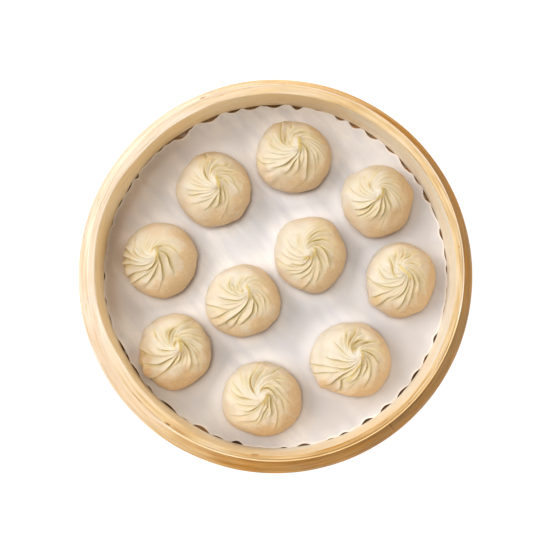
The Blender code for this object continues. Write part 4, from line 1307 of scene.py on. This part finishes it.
def build_hoops(bamboo, skin):
    """The outer board with the skin strip round it, the lip's strip and board, and the floor's ring."""
    full = np.linspace(0.0, 360.0, HOOP_COLUMNS, endpoint=False)
    half = full[::2]
    half_gap = math.degrees(0.5 * BUTT_GAP / BOARD_RADIUS)
    butted = BUTT_ANGLE + np.linspace(half_gap, 360.0 - half_gap, HOOP_COLUMNS + 1)
    # The wall's inside takes painted light and shade in its tone.
    lip_tones = (lip_tone, lip_tone, wall_tone_lit_and_shaded, lip_tone)
    strip_tones = (lip_tone, strip_tone, lip_tone, lip_tone)
    # The shoulder and the wrap round it take the lip's painted shadow in their tone.
    shoulder_tones = (shoulder_tone_and_shade,) * 4
    strip_inside = LIP_RADIUS - STRIP_THICKNESS

    wrap = board_section(
        round_face(full, BOARD_RADIUS - PRESSED), round_face(full, TIER_RADIUS - RELIEF_ROOM),
        WRAP_BOTTOM, WRAP_TOP, 0.4, 10, 4,
    )
    board = board_section(
        round_face(butted, LIP_RADIUS, LIP_SHIFT, joint_width(butted)), round_face(butted, BOARD_RADIUS),
        0.0, SHOULDER_TOP, 0.5, 10, 8,
    )
    strip = board_section(
        round_face(full, strip_inside, LIP_SHIFT), round_face(full, LIP_RADIUS - RELIEF_ROOM, LIP_SHIFT),
        WALL_BOTTOM, LIP_TOP - RELIEF_ROOM - STRIP_DROP * plateau(full, JOINT_SPAN), 0.25, 4, 4,
    )
    lip = board_section(
        lambda level: wall_face(full, level), round_face(full, strip_inside, LIP_SHIFT, -joint_width(full)),
        WALL_BOTTOM, LIP_TOP - RELIEF_ROOM, 0.6, 18, 9,
    )
    ring = board_section(
        round_face(half, RING_INNER_RADIUS, LIP_SHIFT), round_face(half, LIP_RADIUS, LIP_SHIFT),
        RING_BOX[0][2], RING_BOX[1][2], 0.4, 4, 6,
    )
    hoop_piece("skin_wrap", "outer_wrap", full, wrap, skin, "bamboo_skin", shoulder_tones,
               no_stain, 0.03, 11)
    hoop_piece("shoulder_board", "outer_hoop", butted, board, bamboo, "bamboo", shoulder_tones,
               shoulder_marks, 0.06, 21, closed=False)
    hoop_piece("lip_edge_strip", "lip_strip", full, strip, bamboo, "bamboo", strip_tones,
               no_stain, 0.03, 31)
    hoop_piece("lip_board", "inner_hoop", full, lip, bamboo, "bamboo", lip_tones,
               lip_marks, 0.06, 41)
    hoop_piece("support_ring", "floor_ring", half, ring, bamboo, "bamboo", lip_tones,
               no_stain, 0.05, 51)


# ---------------------------------------------------------------- floor

def plank(name, node, material, seed, along):
    """A split bamboo slat along X, 0, or bar along Y, 1: rounded, with a knuckle across its underside.

    A slat's ends lie on a circle.
    """
    low, high = node_box(node)
    across = 1 - along
    middle = 0.5 * (low + high)
    half_width, half_thickness = 0.5 * (high - low)[[across, 2]]
    turns = np.linspace(0.0, 2.0 * math.pi, PLANK_COLUMNS, endpoint=False)
    wide = np.sign(np.cos(turns)) * np.abs(np.cos(turns)) ** PLANK_ROUNDNESS
    tall = np.sign(np.sin(turns)) * np.abs(np.sin(turns)) ** PLANK_ROUNDNESS
    if along == 0:
        reach = np.sqrt(SLAT_REACH**2 - (middle[1] - LIP_SHIFT[1] + half_width * wide) ** 2)
    else:
        reach = np.full(PLANK_COLUMNS, 0.5 * (high - low)[1])
    run = LIP_SHIFT[along] + np.linspace(-1.0, 1.0, PLANK_ROWS)[:, None] * reach
    points = np.zeros((*run.shape, 3))
    points[..., along] = run
    points[..., across] = middle[across] + half_width * wide
    points[..., 2] = middle[2] + half_thickness * tall * (1.0 - 0.08 * np.abs(wide) ** 3)
    rng = np.random.default_rng(seed)
    knuckle = run - rng.uniform(-KNUCKLE_REACH, KNUCKLE_REACH)
    ridge = bell(knuckle, 1.6) - 0.6 * bell(knuckle - 3.0, 1.4)
    points[..., 2] -= KNUCKLE_HEIGHT * ridge * (tall < 0.0)
    points[..., 2] = np.clip(points[..., 2], low[2] + 0.02, high[2] - 0.02)
    end = np.arange(PLANK_COLUMNS)
    faces = [*grid_faces(PLANK_ROWS, PLANK_COLUMNS), end[::-1], (PLANK_ROWS - 1) * PLANK_COLUMNS + end]
    if along == 1:
        faces = [face[::-1] for face in faces]
    heading = np.degrees(np.arctan2(points[..., 1], points[..., 0])) % 360.0
    # Painted shade on the slats' ends, under the liner's notches.
    stain_and_shade = painted_end_shade(heading) * smooth((np.hypot(points[..., 0], points[..., 1]) - END_SHADE_RADIUS) / 2.5)
    tone = 0.8 + 0.2 * rng.uniform(-1.0, 1.0) + 0.15 * Waves(seed + 7, 50.0).at(points)
    looks = {"tone": np.maximum(tone + 0.5 * np.abs(ridge), 0.0), "stain_and_shade": stain_and_shade}
    add_piece(name, node, points, faces, material, "bamboo", looks, sharp=50.0)


def build_floor():
    """The slats, and the bars that they lie on."""
    slat_wood = straight_bamboo_material("slat_bamboo", (0.04, 1.0, 1.0))
    bar_wood = straight_bamboo_material("bar_bamboo", (1.0, 0.04, 1.0))
    for number in range(1, SLATS + 1):
        plank(f"slat_{number:02d}", f"floor_slat_{number:02d}", slat_wood, 200 + number, 0)
    for number in range(1, BARS + 1):
        plank(f"bar_{number}", f"floor_bar_{number}", bar_wood, 300 + number, 1)


# ---------------------------------------------------------------- camera, light and stage

def build_studio():
    """A camera, soft lights, and a plain pale floor."""
    scene = bpy.context.scene
    scene.view_settings.view_transform = "Standard"

    tilt = math.radians(CAMERA_TILT)
    camera = bpy.data.objects.new("camera", bpy.data.cameras.new("camera"))
    camera.data.lens = CAMERA_LENS
    camera.data.sensor_width = CAMERA_SENSOR
    camera.location = (
        CAMERA_AIM[0] * MM,
        (CAMERA_AIM[1] - CAMERA_DISTANCE * math.sin(tilt)) * MM,
        (CAMERA_AIM[2] + CAMERA_DISTANCE * math.cos(tilt)) * MM,
    )
    camera.rotation_euler = (tilt, 0.0, 0.0)
    scene.collection.objects.link(camera)
    scene.camera = camera

    for name, strength, width, elevation, heading, colour in LIGHTS:
        light = bpy.data.objects.new(name, bpy.data.lights.new(name, "SUN"))
        light.data.energy = strength
        light.data.angle = math.radians(width)
        light.data.color = colour
        light.rotation_euler = (math.radians(90.0 - elevation), 0.0, math.radians(heading + 90.0))
        scene.collection.objects.link(light)

    world = bpy.data.worlds.new("studio")
    world.use_nodes = True
    background = world.node_tree.nodes["Background"]
    background.inputs["Color"].default_value = (1.0, 0.98, 0.94, 1.0)
    background.inputs["Strength"].default_value = 0.34
    scene.world = world

    reach = STUDIO_REACH * MM
    corners = [(-reach, -reach, 0.0), (reach, -reach, 0.0), (reach, reach, 0.0), (-reach, reach, 0.0)]
    floor_mesh = bpy.data.meshes.new("studio_floor")
    floor_mesh.from_pydata(corners, [], [(0, 1, 2, 3)])
    floor = bpy.data.objects.new("studio_floor", floor_mesh)
    material, _, shader = new_material("studio_floor", 0.9, 0.0)
    shader.inputs["Base Color"].default_value = (0.30, 0.30, 0.30, 1.0)
    shader.inputs["Emission Color"].default_value = (1.0, 1.0, 1.0, 1.0)
    shader.inputs["Emission Strength"].default_value = 0.84
    floor_mesh.materials.append(material)
    scene.collection.objects.link(floor)


build_studio()
dough = dough_material()
dumpling_outlines = [build_dumpling(number, spec, dough) for number, spec in enumerate(DUMPLINGS, start=1)]
build_liner(paper_material(), dumpling_outlines)
hoop_wood = round_bamboo_material("hoop_bamboo", 0.52, 0.28)
build_hoops(hoop_wood, round_bamboo_material("skin_bamboo", 0.45, 0.4))
build_floor()
